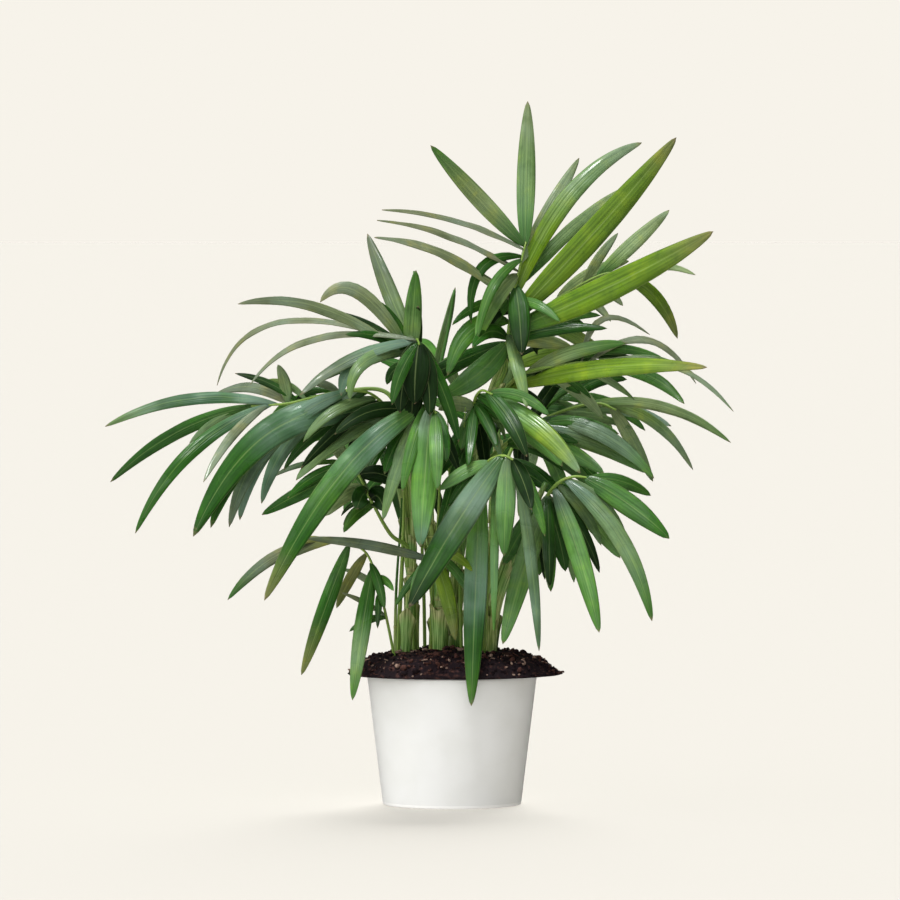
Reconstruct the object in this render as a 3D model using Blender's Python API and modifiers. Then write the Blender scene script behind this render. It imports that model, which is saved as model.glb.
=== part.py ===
"""Potted bamboo palm: a clump of slender canes with feather fronds, standing in
heaped soil in a plain tapered pot.

Metres, +Z up. The origin is the middle of the pot's flat foot, +X is the
viewer's right and -Y points at the viewer. Tables are in millimetres.
"""

import math
import random

import bmesh
import bpy
from mathutils import Quaternion, Vector
from mathutils.bvhtree import BVHTree

MM = 0.001
GAP = 0.3  # between pieces that touch on the real plant
SEED = 11

POT_RIM_R = 76.0
POT_FOOT_R = 61.8
POT_HEIGHT = 116.0
POT_WALL = 4.0
POT_FLOOR = 6.0
POT_STEPS = 48

SOIL_RISE = 24.0  # top of the heap above the rim
SOIL_SPILL_R = 96.0  # how far the heap spills over the rim
SOIL_STEPS = 24  # half as many as the pot's, so that their corners line up

BLADE_THICK = 0.7
BLADE_FOLD = 0.2  # how far the edges drop below the midrib, of half the width
ROOT_WIDTH = 2.6
TIP_WIDTH = 1.1
SHEATH_WALL = 1.2
SHEATH_LENGTH = 26.0
RIB_FOOT_R = 2.3  # a frond's rib at its cane
PETIOLE_FOOT_R = 1.7  # the one that rises from the soil by itself
RIB_TIP_R = 0.9
LAST_ROOT = 0.97  # the end leaflets are sunk into the rib's tip

# Bending the fronds clear of one another
BEND_ROUNDS = 90
BEND_STEP = 2.0
BEND_MOST = 4.0
BLADE_SPARE = 0.9
EDGE_SPARE = 0.4
CANE_SPARE = 1.0
RIB_SPARE = 0.8

VIEWER = Vector((0.0, -1.0, 0.0))
UP = Vector((0.0, 0.0, 1.0))

# Each cane: points up its middle, radius at the soil, radius at the top
CANES = {
    "Cane_Left_Front": (
        [
            (-41, -10, 58),
            (-42, -10, 121),
            (-38, -12, 192),
            (-34, -14, 255),
            (-36, -14, 326),
            (-36, -10, 392),
            (-33, -8, 436),
            (-34, -6, 477),
        ],
        4.0,
        0.9,
    ),
    "Cane_Left_Rear": (
        [(-30, 14, 58), (-32, 14, 121), (-36, 16, 200), (-44, 14, 290), (-50, 10, 378)],
        3.8,
        2.4,
    ),
    "Cane_Crown": (
        [(-12, -14, 58), (-12, -14, 121), (-8, -12, 237), (3, -6, 282), (25, 6, 344), (45, 14, 392), (56, 22, 436)],
        5.4,
        2.6,
    ),
    "Cane_Middle": (
        [(0, 16, 58), (1, 17, 121), (7, 22, 237), (20, 28, 310), (38, 34, 360), (48, 40, 392)],
        5.8,
        2.6,
    ),
    "Cane_Front": (
        [(18, -24, 58), (19, -25, 121), (22, -28, 200), (21, -32, 260), (17, -34, 312)],
        4.6,
        2.5,
    ),
    "Cane_Right": (
        [(34, -4, 58), (35, -4, 121), (40, -6, 183), (60, -8, 237), (78, -10, 276), (84, -8, 288)],
        5.2,
        2.5,
    ),
    "Cane_Back_Left": (
        [
            (-13, 40, 58),
            (-13, 40, 121),
            (-18, 46, 220),
            (-22, 52, 310),
            (-12, 56, 382),
            (-4, 60, 420),
            (2, 60, 459),
        ],
        4.6,
        1.0,
    ),
    "Cane_Back_Right": (
        [(22, 42, 58), (24, 44, 121), (34, 54, 220), (40, 62, 300), (42, 68, 336)],
        4.4,
        2.4,
    ),
    "Shoot_Left": (
        [(-50, 6, 58), (-51, 6, 121), (-50, 5, 190), (-46, 2, 250), (-45, 2, 274)],
        2.0,
        0.8,
    ),
}

# Each frond: the cane, the height of its sheath on it, points along its rib
# after that, and its leaflets. A leaflet is where it leaves the rib (0 to 1),
# its tip (x, y, z), its greatest width, how high its middle arches above a
# straight line, how far its face is turned up from the viewer in degrees, and
# where along it the arch peaks if not in the middle.
FRONDS = {
    "Frond_Crown": (
        "Cane_Crown",
        382,
        [(50, 0, 420), (56, -2, 460), (66, 4, 503)],
        [
            (0.40, 230, -96, 513, 26, -4, 20),
            (0.47, 199, -40, 596, 24, -3, 10),
            (0.60, 171, 66, 592, 17, 22, 10, 0.6),
            (0.68, 153, 104, 550, 13, 5, 20),
            (0.86, 115, 84, 578, 13, 1, 0),
            (1.00, 68, 44, 629, 17, 0, 0),
            (0.98, -19, -34, 589, 16, -1, 0),
            (0.95, -62, -62, 532, 13, 9, 70),
            (0.80, -66, -92, 523, 13, 9, 66),
            (0.60, -68, -118, 508, 15, 13, 56),
            (0.90, 17, -34, 431, 10, 26, 10),
            (0.46, -4, -54, 385, 18, 19, 10),
            (0.32, -8, -24, 366, 22, -5, 10),
            (0.70, 62, -36, 403, 20, 5, 0),
            (0.34, 108, 12, 408, 14, 3, 10),
            (0.78, 22, -44, 414, 17, 9, 10),
            (0.64, 30, -20, 421, 14, 4, 0),
        ],
    ),
    "Frond_Crown_Rear": (
        "Cane_Middle",
        326,
        [(58, 52, 400), (82, 62, 440), (110, 68, 460), (140, 74, 474), (161, 78, 469)],
        [
            (0.80, 151, 130, 510, 9, 2, 0),
            (0.86, 198, 140, 531, 14, 0, 10),
            (1.00, 219, 50, 473, 10, 9, 45),
            (1.00, 205, 124, 414, 13, 11, 0),
            (0.82, 154, 60, 445, 9, 3, 20),
            (0.76, 143, 48, 431, 9, 3, 20),
            (0.68, 162, 170, 484, 13, 6, 10),
            (0.56, 150, 96, 387, 14, 6, 20),
            (0.45, 80, 150, 420, 14, 8, 20),
            (0.35, 118, 40, 404, 14, 4, 20),
        ],
    ),
    "Frond_Right_Upper": (
        "Cane_Middle",
        356,
        [(62, 14, 384), (92, 6, 392), (123, 2, 395), (148, 0, 388)],
        [
            (0.22, 225, -86, 393, 19, 9, 30),
            (0.40, 155, -14, 413, 14, 6, 20),
            (0.76, 177, 10, 420, 10, 30, 54),
            (0.80, 220, 56, 375, 12, 31, 62),
            (0.84, 250, -44, 353, 9, 22, 52),
            (1.00, 206, -56, 360, 13, 9, 25),
            (0.70, 164, 30, 361, 8, 4, 30),
            (0.50, 136, 50, 344, 14, 6, 20),
        ],
    ),
    "Frond_Right_Lower": (
        "Cane_Middle",
        288,
        [(55, 50, 326), (79, 58, 341), (106, 60, 352), (132, 58, 357), (148, 56, 351)],
        [
            (0.78, 252, 76, 321, 11, 18, 25),
            (0.88, 219, 110, 295, 11, 17, 20),
            (1.00, 183, 126, 284, 13, 3, 10),
            (0.60, 181, 16, 291, 15, 13, 15),
            (0.48, 176, 30, 295, 18, 10, 10),
            (0.70, 200, 140, 334, 13, 10, 20),
            (0.50, 112, 100, 391, 13, 6, 10),
            (0.40, 130, 110, 276, 15, 8, 10),
            (0.45, 136, 6, 296, 16, 4, 10),
        ],
    ),
    "Frond_Right_Low": (
        "Cane_Right",
        254,
        [(92, -22, 286), (108, -24, 294), (126, -22, 292)],
        [
            (0.46, 45, -64, 147, 20, 3, 0),
            (0.30, 46, -36, 216, 16, 3, 0),
            (0.55, 130, -92, 159, 18, 6, 0),
            (0.70, 177, -70, 168, 16, 16, 10),
            (0.38, 122, 16, 192, 22, 6, 0),
            (0.30, 78, -24, 206, 16, 3, 0),
            (0.40, 101, -34, 210, 18, 3, 0),
            (0.62, 151, 24, 219, 16, 2, 10),
            (0.90, 193, -50, 240, 21, 4, 15),
            (0.96, 178, 4, 276, 13, 5, 20),
        ],
    ),
    "Frond_Centre_Front": (
        "Cane_Front",
        278,
        [(32, -50, 308), (46, -58, 314), (58, -64, 308)],
        [
            (0.80, -38, -112, 182, 27, 4, 10),
            (0.36, 17, -92, 94, 21, 2, 0),
            (0.60, -11, -70, 284, 13, 3, 20),
            (1.00, 77, -84, 142, 11, 4, 0),
            (0.92, 70, -100, 268, 15, 4, 0),
            (0.86, 46, -84, 226, 18, 3, 0),
        ],
    ),
    "Frond_Centre_Upper": (
        "Cane_Crown",
        334,
        [(20, -18, 360), (26, -34, 371), (36, -46, 368)],
        [
            (0.70, 113, -96, 300, 20, 10, 15),
            (0.60, 98, -44, 304, 20, 8, 10),
            (0.50, 14, -64, 304, 11, 4, 10),
            (0.36, 8, -30, 318, 14, 5, 10),
            (0.90, 66, -84, 314, 16, 6, 10),
            (0.40, -12, -36, 354, 14, 6, 10),
            (0.28, -12, -40, 294, 15, 4, 0),
        ],
    ),
    "Frond_Front_Left": (
        "Cane_Left_Front",
        326,
        [(-31, -32, 350), (-22, -52, 360), (-14, -68, 352)],
        [
            (0.70, -165, -122, 189, 24, 20, 15, 0.36),
            (0.85, -28, -104, 235, 25, 3, 0),
            (1.00, -13, -112, 286, 13, 3, 0),
            (0.50, -104, -60, 333, 15, 12, 20),
        ],
    ),
    "Frond_Left_Big": (
        "Cane_Left_Rear",
        316,
        [(-58, -20, 354), (-74, -32, 369), (-94, -44, 371)],
        [
            (0.45, -229, -74, 243, 29, 45, 15, 0.42),
            (0.62, -214, -60, 250, 21, 38, 10),
            (0.80, -198, -48, 250, 18, 30, 10),
            (1.00, -189, -36, 256, 17, 24, 10),
            (0.90, -170, -20, 270, 16, 18, 10),
        ],
    ),
    "Frond_Far_Left": (
        "Cane_Left_Rear",
        354,
        [(-68, 18, 371), (-98, 20, 369), (-127, 16, 363), (-149, 14, 358), (-180, 12, 356)],
        [
            (0.84, -310, 0, 338, 12, 15, 30),
            (1.00, -308, 60, 286, 13, 12, 15),
            (0.88, -281, -56, 245, 13, 20, 15),
            (0.90, -220, -70, 291, 9, 9, 15),
            (0.78, -215, 76, 364, 11, 11, 30),
            (0.78, -156, 14, 393, 11, 2, 0),
            (0.46, -127, -10, 377, 8, 3, 30),
            (0.60, -138, 96, 322, 13, 8, 20),
        ],
    ),
    "Frond_Upper_Left": (
        "Cane_Left_Front",
        368,
        [(-38, -28, 396), (-34, -42, 411), (-31, -56, 417), (-29, -68, 413)],
        [
            (0.55, -117, -50, 450, 13, 25, 10, 0.95),
            (0.50, -189, -84, 449, 13, 19, 45, 0.6),
            (0.70, -211, 30, 374, 10, 45, 60, 0.78),
            (0.85, -180, -10, 376, 11, 25, 58, 0.64),
            (0.80, -134, -100, 369, 13, 10, 35),
            (0.60, -98, -84, 368, 15, 18, 10, 0.8),
            (0.66, -76, 30, 510, 15, -2, 0),
            (0.50, -32, -30, 478, 16, 3, 0),
            (1.00, -33, -82, 360, 26, 6, 0),
        ],
    ),
    "Frond_Left_Dark": (
        "Cane_Left_Front",
        222,
        [(-55, -24, 243), (-72, -28, 273), (-86, -32, 300), (-104, -30, 308)],
        [
            (0.86, -169, -44, 261, 14, 2, 10),
            (1.00, -163, 0, 292, 7, 6, 45),
            (0.70, -112, -66, 261, 15, 6, 10),
            (0.60, -60, -70, 265, 20, 8, 10),
            (0.66, -84, -92, 268, 18, 4, 0),
            (0.75, -54, 0, 330, 14, 6, 10),
            (0.90, -120, 20, 330, 13, 6, 10),
        ],
    ),
    "Frond_Low_Left": (
        None,
        58,
        [(-50, -26, 90), (-50, -26, 121), (-54, -28, 147), (-64, -32, 192), (-76, -36, 226), (-97, -40, 236), (-127, -44, 239)],
        [
            (1.00, -199, -62, 186, 11, 9, 20),
            (0.84, -133, -84, 121, 14, 1, 0),
            (0.76, -103, -30, 177, 10, 2, 0),
            (0.70, -88, -90, 99, 15, 3, 0),
            (0.90, -140, -20, 223, 7, 3, 30),
            (0.50, -98, -50, 192, 6, 2, 40),
            (0.72, -60, -60, 178, 9, 3, 10),
        ],
    ),
    "Frond_Small": (
        "Cane_Crown",
        196,
        [(-18, -36, 222), (-14, -46, 230)],
        [
            (0.90, 3, -58, 150, 14, 3, 0),
            (1.00, 18, -70, 212, 9, 5, 10),
            (0.70, -130, -64, 241, 10, 4, 20),
        ],
    ),
    "Frond_Back_Left": (
        "Cane_Back_Left",
        262,
        [(-38, 84, 312), (-52, 124, 324), (-68, 160, 310)],
        [
            (0.60, -146, 130, 314, 14, 14, 40),
            (0.75, -130, 200, 254, 14, 14, 30),
            (1.00, -100, 250, 250, 14, 12, 20),
            (0.95, -46, 262, 236, 14, 12, 20),
            (0.70, 10, 190, 278, 14, 12, 30),
            (0.50, -128, 96, 350, 13, 10, 30),
            (0.86, -118, 236, 300, 13, 10, 20),
        ],
    ),
    "Frond_Back_Upper": (
        "Cane_Back_Left",
        304,
        [(-34, 88, 352), (-24, 116, 380), (-10, 144, 388)],
        [
            (0.60, -66, 130, 394, 13, 10, 30),
            (0.75, -48, 190, 368, 13, 12, 30),
            (0.95, 8, 226, 356, 13, 12, 20),
            (0.85, 66, 190, 392, 13, 12, 30),
            (0.60, 60, 140, 410, 13, 8, 20),
            (1.00, -34, 220, 408, 13, 8, 20),
        ],
    ),
    "Frond_Back_Right": (
        "Cane_Back_Right",
        262,
        [(54, 102, 314), (68, 142, 324), (84, 176, 310)],
        [
            (0.60, 158, 150, 316, 14, 12, 40),
            (0.75, 148, 214, 258, 14, 14, 30),
            (0.99, 112, 262, 236, 14, 12, 20),
            (0.91, 62, 270, 246, 14, 12, 20),
            (0.70, 6, 216, 280, 14, 12, 30),
            (0.80, 150, 236, 300, 13, 10, 20),
        ],
    ),
    "Frond_Back_Side": (
        "Cane_Back_Right",
        304,
        [(74, 96, 346), (96, 116, 360), (118, 130, 356)],
        [
            (0.60, 130, 70, 326, 14, 8, 20),
            (0.80, 176, 130, 330, 13, 12, 30),
            (1.00, 150, 190, 308, 13, 12, 20),
            (0.70, 96, 190, 362, 13, 12, 20),
            (0.90, 160, 160, 376, 13, 8, 20),
            (0.80, 70, 186, 330, 13, 10, 20),
        ],
    ),
}

COLOURS = {
    "Pot_White": ((0.80, 0.79, 0.76), 0.35),
    "Soil_Dark": ((0.022, 0.013, 0.010), 0.95),
    "Cane_Olive": ((0.17, 0.19, 0.06), 0.5),
    "Leaf_Green": ((0.045, 0.15, 0.035), 0.35),
}


def material(name):
    """The named material, made on first use."""
    if name in bpy.data.materials:
        return bpy.data.materials[name]
    colour, roughness = COLOURS[name]
    mat = bpy.data.materials.new(name)
    mat.use_nodes = True
    shader = mat.node_tree.nodes["Principled BSDF"]
    shader.inputs["Base Color"].default_value = (*colour, 1.0)
    shader.inputs["Roughness"].default_value = roughness
    shader.inputs["Metallic"].default_value = 0.0
    mat.diffuse_color = (*colour, 1.0)
    return mat


def collection(name):
    """A new collection in the scene."""
    made = bpy.data.collections.new(name)
    bpy.context.scene.collection.children.link(made)
    return made


def mesh_object(name, bm, home, mat=None):
    """Turns a bmesh, in millimetres, into an object in metres."""
    bmesh.ops.scale(bm, vec=(MM, MM, MM), verts=bm.verts)
    mesh = bpy.data.meshes.new(name)
    bm.to_mesh(mesh)
    bm.free()
    ob = bpy.data.objects.new(name, mesh)
    if mat:
        mesh.materials.append(material(mat))
    home.objects.link(ob)
    return ob


def remove(ob):
    """Removes an object with its mesh or curve."""
    data = ob.data
    bpy.data.objects.remove(ob, do_unlink=True)
    if isinstance(data, bpy.types.Mesh):
        bpy.data.meshes.remove(data)
    else:
        bpy.data.curves.remove(data)


def smooth_path(points, steps):
    """Points on a soft curve through the given ones, steps to each span."""
    pts = [Vector(p) for p in points]
    pts = [2 * pts[0] - pts[1]] + pts + [2 * pts[-1] - pts[-2]]
    out = []
    for a, b, c, d in zip(pts, pts[1:], pts[2:], pts[3:]):
        for i in range(steps):
            t = i / steps
            out.append(
                0.5
                * (
                    2 * b
                    + (c - a) * t
                    + (2 * a - 5 * b + 4 * c - d) * t * t
                    + (3 * b - a - 3 * c + d) * t**3
                )
            )
    out.append(pts[-2])
    return out


def along(path, share):
    """The point at a share of a path's length."""
    total = sum((b - a).length for a, b in zip(path, path[1:]))
    left = share * total
    for a, b in zip(path, path[1:]):
        step = (b - a).length
        if left <= step:
            return a.lerp(b, left / step)
        left -= step
    return path[-1].copy()


def at_height(path, z):
    """The point where a rising path passes a height."""
    for a, b in zip(path, path[1:]):
        if a.z <= z <= b.z:
            return a.lerp(b, (z - a.z) / (b.z - a.z))
    return path[-1].copy() if z > path[-1].z else path[0].copy()


def tube(name, path, radii, home, mat=None, sides=8):
    """A closed tube along a path, as a curve made into a mesh."""
    curve = bpy.data.curves.new(name, "CURVE")
    curve.dimensions = "3D"
    curve.bevel_depth = MM
    curve.bevel_resolution = sides // 2 - 2
    curve.use_fill_caps = True
    curve.twist_mode = "MINIMUM"
    spline = curve.splines.new("POLY")
    spline.points.add(len(path) - 1)
    for point, place, radius in zip(spline.points, path, radii):
        point.co = (*(place * MM), 1.0)
        point.radius = radius
    line = bpy.data.objects.new(name + "_line", curve)
    bpy.context.scene.collection.objects.link(line)
    bpy.context.view_layer.update()
    held = line.evaluated_get(bpy.context.evaluated_depsgraph_get())
    mesh = bpy.data.meshes.new_from_object(held)
    remove(line)
    bm = bmesh.new()
    bm.from_mesh(mesh)
    bmesh.ops.remove_doubles(bm, verts=bm.verts, dist=0.00001)
    bmesh.ops.recalc_face_normals(bm, faces=bm.faces)
    bm.to_mesh(mesh)
    bm.free()
    mesh.materials.clear()
    mesh.name = name
    ob = bpy.data.objects.new(name, mesh)
    if mat:
        mesh.materials.append(material(mat))
    home.objects.link(ob)
    return ob


def bake(ob):
    """Applies an object's modifiers."""
    bpy.context.view_layer.update()
    held = ob.evaluated_get(bpy.context.evaluated_depsgraph_get())
    mesh = bpy.data.meshes.new_from_object(held)
    old = ob.data
    ob.modifiers.clear()
    ob.data = mesh
    mesh.name = ob.name
    bpy.data.meshes.remove(old)


def turned(name, profile, steps, home, mat):
    """A turned solid from an outline that runs down its outer side."""
    mesh = bpy.data.meshes.new(name)
    bm = bmesh.new()
    ring = [bm.verts.new((r * MM, 0.0, z * MM)) for r, z in profile]
    for a, b in zip(ring, ring[1:]):
        bm.edges.new((a, b))
    bm.to_mesh(mesh)
    bm.free()
    ob = bpy.data.objects.new(name, mesh)
    mesh.materials.append(material(mat))
    home.objects.link(ob)
    screw = ob.modifiers.new("Turn", "SCREW")
    screw.steps = steps
    screw.render_steps = steps
    screw.use_merge_vertices = True
    screw.merge_threshold = 0.00001
    bake(ob)
    return ob


def width_at(t, width):
    """A leaflet's width: narrow at the root, widest before the middle."""
    swell = max(0.0, math.sin(math.pi * t**0.85)) ** 0.55
    least = ROOT_WIDTH * (1.0 - t) + TIP_WIDTH * t
    return max(width * swell, least)


class Leaflet:
    """One blade: its bent middle line, and its width and face along it."""

    def __init__(self, rib, entry, rng):
        share, x, y, z, width, arch, turn = entry[:7]
        self.root = along(rib, min(share, LAST_ROOT))
        self.tip = Vector((x, y, z))
        self.width = width
        self.arch = arch
        self.turn = turn
        self.peak = entry[7] if len(entry) > 7 else 0.5
        self.twist = rng.uniform(-14.0, 14.0)
        self.swing = 0.0

    def middle(self, t):
        """A point of the middle line, and the direction it runs in."""
        chord = self.tip - self.root
        way = chord.normalized()
        rise = UP - way * UP.dot(way)
        if rise.length < 0.12:
            rise = VIEWER - way * VIEWER.dot(way)
        bend = self.root + chord * self.peak + rise.normalized() * 2.0 * self.arch
        bend.y += self.peak * self.swing
        tip = self.tip + Vector((0.0, self.swing, 0.0))
        place = self.root * (1 - t) ** 2 + bend * 2 * t * (1 - t) + tip * t * t
        run = (bend - self.root) * (1 - t) + (tip - bend) * t
        return place, run.normalized()

    def section(self, t):
        """The middle, the side direction and the upper face's direction."""
        place, run = self.middle(t)
        side = run.cross(VIEWER)
        if side.length < 0.05:
            side = run.cross(UP)
        side.normalize()
        face = side.cross(run)
        if face.dot(VIEWER) < 0:
            face.negate()
        lift = 1.0 if (Quaternion(run, 0.1) @ face).z > face.z else -1.0
        angle = math.radians(self.turn + self.twist * (t - 0.3)) * lift
        face = Quaternion(run, angle) @ face
        side = run.cross(face).normalized()
        return place, side, face

    def blade(self, thick, spare=0.0):
        """The blade as a closed bmesh, in millimetres."""
        long = (self.tip - self.root).length
        if long > 190 or self.arch > 23:
            stops = (0.0, 0.15, 0.36, 0.6, 0.82, 1.0)
        elif long > 140 or self.arch > 12:
            stops = (0.0, 0.18, 0.48, 0.78, 1.0)
        else:
            stops = (0.0, 0.25, 0.68, 1.0)
        columns = 1 if self.width < 13 else 2
        bm = bmesh.new()
        bmesh.ops.create_grid(bm, x_segments=columns, y_segments=len(stops) - 1, size=1.0)
        for vert in bm.verts:
            across = round(vert.co.x)
            t = stops[round((vert.co.y + 1.0) / 2.0 * (len(stops) - 1))]
            place, side, face = self.section(t)
            half = width_at(t, self.width) / 2.0 + spare
            drop = -BLADE_FOLD * half * abs(across) if columns == 2 else 0.0
            vert.co = place + side * (across * half) + face * drop
        bmesh.ops.triangulate(bm, faces=bm.faces)
        bmesh.ops.recalc_face_normals(bm, faces=bm.faces)
        bmesh.ops.solidify(bm, geom=bm.faces[:], thickness=thick)
        bmesh.ops.recalc_face_normals(bm, faces=bm.faces)
        return bm


class Frond:
    """A sheath round its cane, a rib, and leaflets along it."""

    def __init__(self, name, rng, canes):
        cane, height, points, entries = FRONDS[name]
        self.name = name
        self.cane = cane
        self.height = height
        if cane:
            path, low, high = canes[cane]
            here = at_height(path, height)
            share = (height - path[0].z) / (path[-1].z - path[0].z)
            self.grip = low + (high - low) * share
            out = Vector(points[0]) - here
            out.z = 0.0
            out.normalize()
            foot = at_height(path, height - 9) + out * (self.grip + 1.3)
            start = at_height(path, height + 9) + out * (self.grip + 2.6)
            self.path = smooth_path([foot, start] + points, 2)
        else:
            self.path = smooth_path([(points[0][0], points[0][1], height)] + points, 2)
        count = len(self.path)
        thick = RIB_FOOT_R if cane else PETIOLE_FOOT_R
        self.radii = [thick + (RIB_TIP_R - thick) * i / (count - 1) for i in range(count)]
        self.leaflets = [Leaflet(self.path, e, rng) for e in entries]


def bm_tree(bm):
    """A search tree over a bmesh, which is freed."""
    tree = BVHTree.FromBMesh(bm)
    bm.free()
    return tree


def tube_tree(path, radii, spare):
    """A search tree over a fattened six-sided tube."""
    bm = bmesh.new()
    rings = []
    for i, (place, radius) in enumerate(zip(path, radii)):
        run = (path[min(i + 1, len(path) - 1)] - path[max(i - 1, 0)]).normalized()
        side = run.orthogonal().normalized()
        other = run.cross(side)
        ring = []
        for k in range(6):
            a = math.tau * k / 6
            offset = side * math.cos(a) + other * math.sin(a)
            ring.append(bm.verts.new(place + offset * (radius + spare)))
        rings.append(ring)
    for low, high in zip(rings, rings[1:]):
        for k in range(6):
            bm.faces.new((low[k], low[k - 1], high[k - 1], high[k]))
    return bm_tree(bm)


def bend_clear(fronds, canes):
    """Swings leaflets of different fronds apart, nearer and farther from the
    viewer, until none crosses another frond or a cane."""
    fixed = []
    for name, (path, low, high) in canes.items():
        count = len(path)
        radii = [low + (high - low) * i / (count - 1) for i in range(count)]
        fixed.append((name, path, tube_tree(path, radii, CANE_SPARE)))
    for frond in fronds:
        fixed.append((frond.name, frond.path, tube_tree(frond.path, frond.radii, RIB_SPARE)))
    blades = [(f.name, leaf) for f in fronds for leaf in f.leaflets]
    order = {}
    trees = {}
    left = []
    for _ in range(BEND_ROUNDS):
        for k, (_, leaf) in enumerate(blades):
            if k not in trees:
                trees[k] = bm_tree(leaf.blade(BLADE_THICK + BLADE_SPARE, EDGE_SPARE))
        moves = {}
        left = []
        for i, (home, leaf) in enumerate(blades):
            for j in range(i + 1, len(blades)):
                if blades[j][0] == home or not trees[i].overlap(trees[j]):
                    continue
                if (i, j) not in order:
                    order[i, j] = depth_order(leaf, blades[j][1])
                step = order[i, j] * BEND_STEP
                moves[i] = moves.get(i, 0.0) + step
                moves[j] = moves.get(j, 0.0) - step
                left.append((home, blades[j][0]))
            for name, path, tree in fixed:
                if name == home or not trees[i].overlap(tree):
                    continue
                if (i, name) not in order:
                    order[i, name] = side_order(leaf, path)
                moves[i] = moves.get(i, 0.0) + order[i, name] * 1.5 * BEND_STEP
                left.append((home, name))
        if not moves:
            break
        for k, move in moves.items():
            blades[k][1].swing += max(-BEND_MOST, min(BEND_MOST, move))
            trees.pop(k)
    return left


def flat(place):
    """A point as the viewer sees it, without its depth."""
    return Vector((place.x, place.z))


def nearest_depths(line_a, line_b):
    """The depths of two lines where they pass closest in the viewer's eye."""
    best = None
    for p in line_a:
        for q in line_b:
            apart = (flat(p) - flat(q)).length
            if best is None or apart < best[0]:
                best = (apart, p.y, q.y)
    return best[1], best[2]


def depth_order(a, b):
    """1 where leaflet a lies behind b, -1 where it lies in front."""
    line_a = [a.middle(t / 12)[0] for t in range(2, 13)]
    line_b = [b.middle(t / 12)[0] for t in range(2, 13)]
    ya, yb = nearest_depths(line_a, line_b)
    return 1.0 if ya >= yb else -1.0


def side_order(leaf, path):
    """1 where a leaflet lies behind a stem, -1 where it lies in front."""
    line = [leaf.middle(t / 12)[0] for t in range(2, 13)]
    ya, yb = nearest_depths(line, path)
    return 1.0 if ya >= yb else -1.0


def build_pot(home):
    """A plain tapered pot with a flat foot, open at the top."""
    slope = (POT_RIM_R - POT_FOOT_R) / POT_HEIGHT
    inner_top = POT_RIM_R - POT_WALL
    inner_foot = POT_FOOT_R + slope * POT_FLOOR - POT_WALL
    profile = [
        (0.0, POT_FLOOR),
        (inner_foot - 4.0, POT_FLOOR),
        (inner_foot - 1.0, POT_FLOOR + 1.2),
        (inner_foot + 0.2, POT_FLOOR + 4.0),
        (inner_top, POT_HEIGHT - 0.8),
        (inner_top + 0.8, POT_HEIGHT),
        (POT_RIM_R - 0.8, POT_HEIGHT),
        (POT_RIM_R, POT_HEIGHT - 0.8),
        (POT_FOOT_R + slope * 1.2, 1.2),
        (POT_FOOT_R - 1.0, 0.0),
        (0.0, 0.0),
    ]
    pot = turned("Pot", profile, POT_STEPS, home, "Pot_White")
    pot.data.shade_smooth()
    pot.data.set_sharp_from_angle(angle=math.radians(35))
    return pot


def build_soil(home, stems):
    """Soil that fills the pot and heaps over its rim, with a hole for each stem."""
    slope = (POT_RIM_R - POT_FOOT_R) / POT_HEIGHT
    inner_top = POT_RIM_R - POT_WALL - GAP
    inner_foot = POT_FOOT_R + slope * POT_FLOOR - POT_WALL - GAP
    top = POT_HEIGHT + SOIL_RISE
    over = POT_HEIGHT + GAP
    profile = [
        (0.0, top),
        (26.0, top - 1.2),
        (50.0, top - 3.6),
        (69.0, top - 6.6),
        (82.0, top - 12.0),
        (90.0, top - 18.6),
        (SOIL_SPILL_R, over + 1.0),
        (SOIL_SPILL_R - 1.8, over),
        (inner_top + 0.9, over),
        (inner_top - 0.1, over - 1.4),
        (inner_foot, POT_FLOOR + 5.0),
        (inner_foot - 5.4, POT_FLOOR + GAP),
        (0.0, POT_FLOOR + GAP),
    ]
    soil = turned("Soil", profile, SOIL_STEPS, home, "Soil_Dark")
    rng = random.Random(SEED)
    for vert in soil.data.vertices:
        x, y, z = (c / MM for c in vert.co)
        reach = math.hypot(x, y)
        if z < over + 0.5 and reach < POT_RIM_R:
            continue
        angle = math.atan2(y, x)
        wave = math.sin(3 * angle + 0.6) + 0.7 * math.sin(5 * angle + 2.1)
        lump = rng.uniform(-1.4, 1.4)
        outer = max(0.0, min(1.0, (reach - 60.0) / 30.0))
        grow = 1.0 + outer * (0.022 * wave + rng.uniform(-0.012, 0.02))
        if reach > 60.0:
            past = (reach - 60.0) * (0.5 + 0.5 * abs(math.cos(angle)) ** 1.6)
            grow *= (60.0 + past) / reach
        rise = (lump + 0.5 * wave) * min(1.0, (z - over) / 6.0)
        vert.co = Vector((x * grow, y * grow, z + rise)) * MM
    cutters = collection("Soil_Cutters")
    for name, path, radii in stems:
        fat = [r + GAP for r in radii]
        longer = [path[0] - Vector((0.0, 0.0, GAP))] + path[1:]
        sides = 4 if name in FRONDS else 8
        tube(name + "_Hole", longer, fat, cutters, sides=sides)
    cut = soil.modifiers.new("Holes", "BOOLEAN")
    cut.operation = "DIFFERENCE"
    cut.operand_type = "COLLECTION"
    cut.collection = cutters
    bake(soil)
    for ob in list(cutters.objects):
        remove(ob)
    bpy.data.collections.remove(cutters)
    return soil


def cane_shape(points, low, high):
    """A cane's path and radii: a slow taper."""
    path = smooth_path(points, 2)
    count = len(path)
    radii = [low + (high - low) * i / (count - 1) for i in range(count)]
    return path, radii


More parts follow.
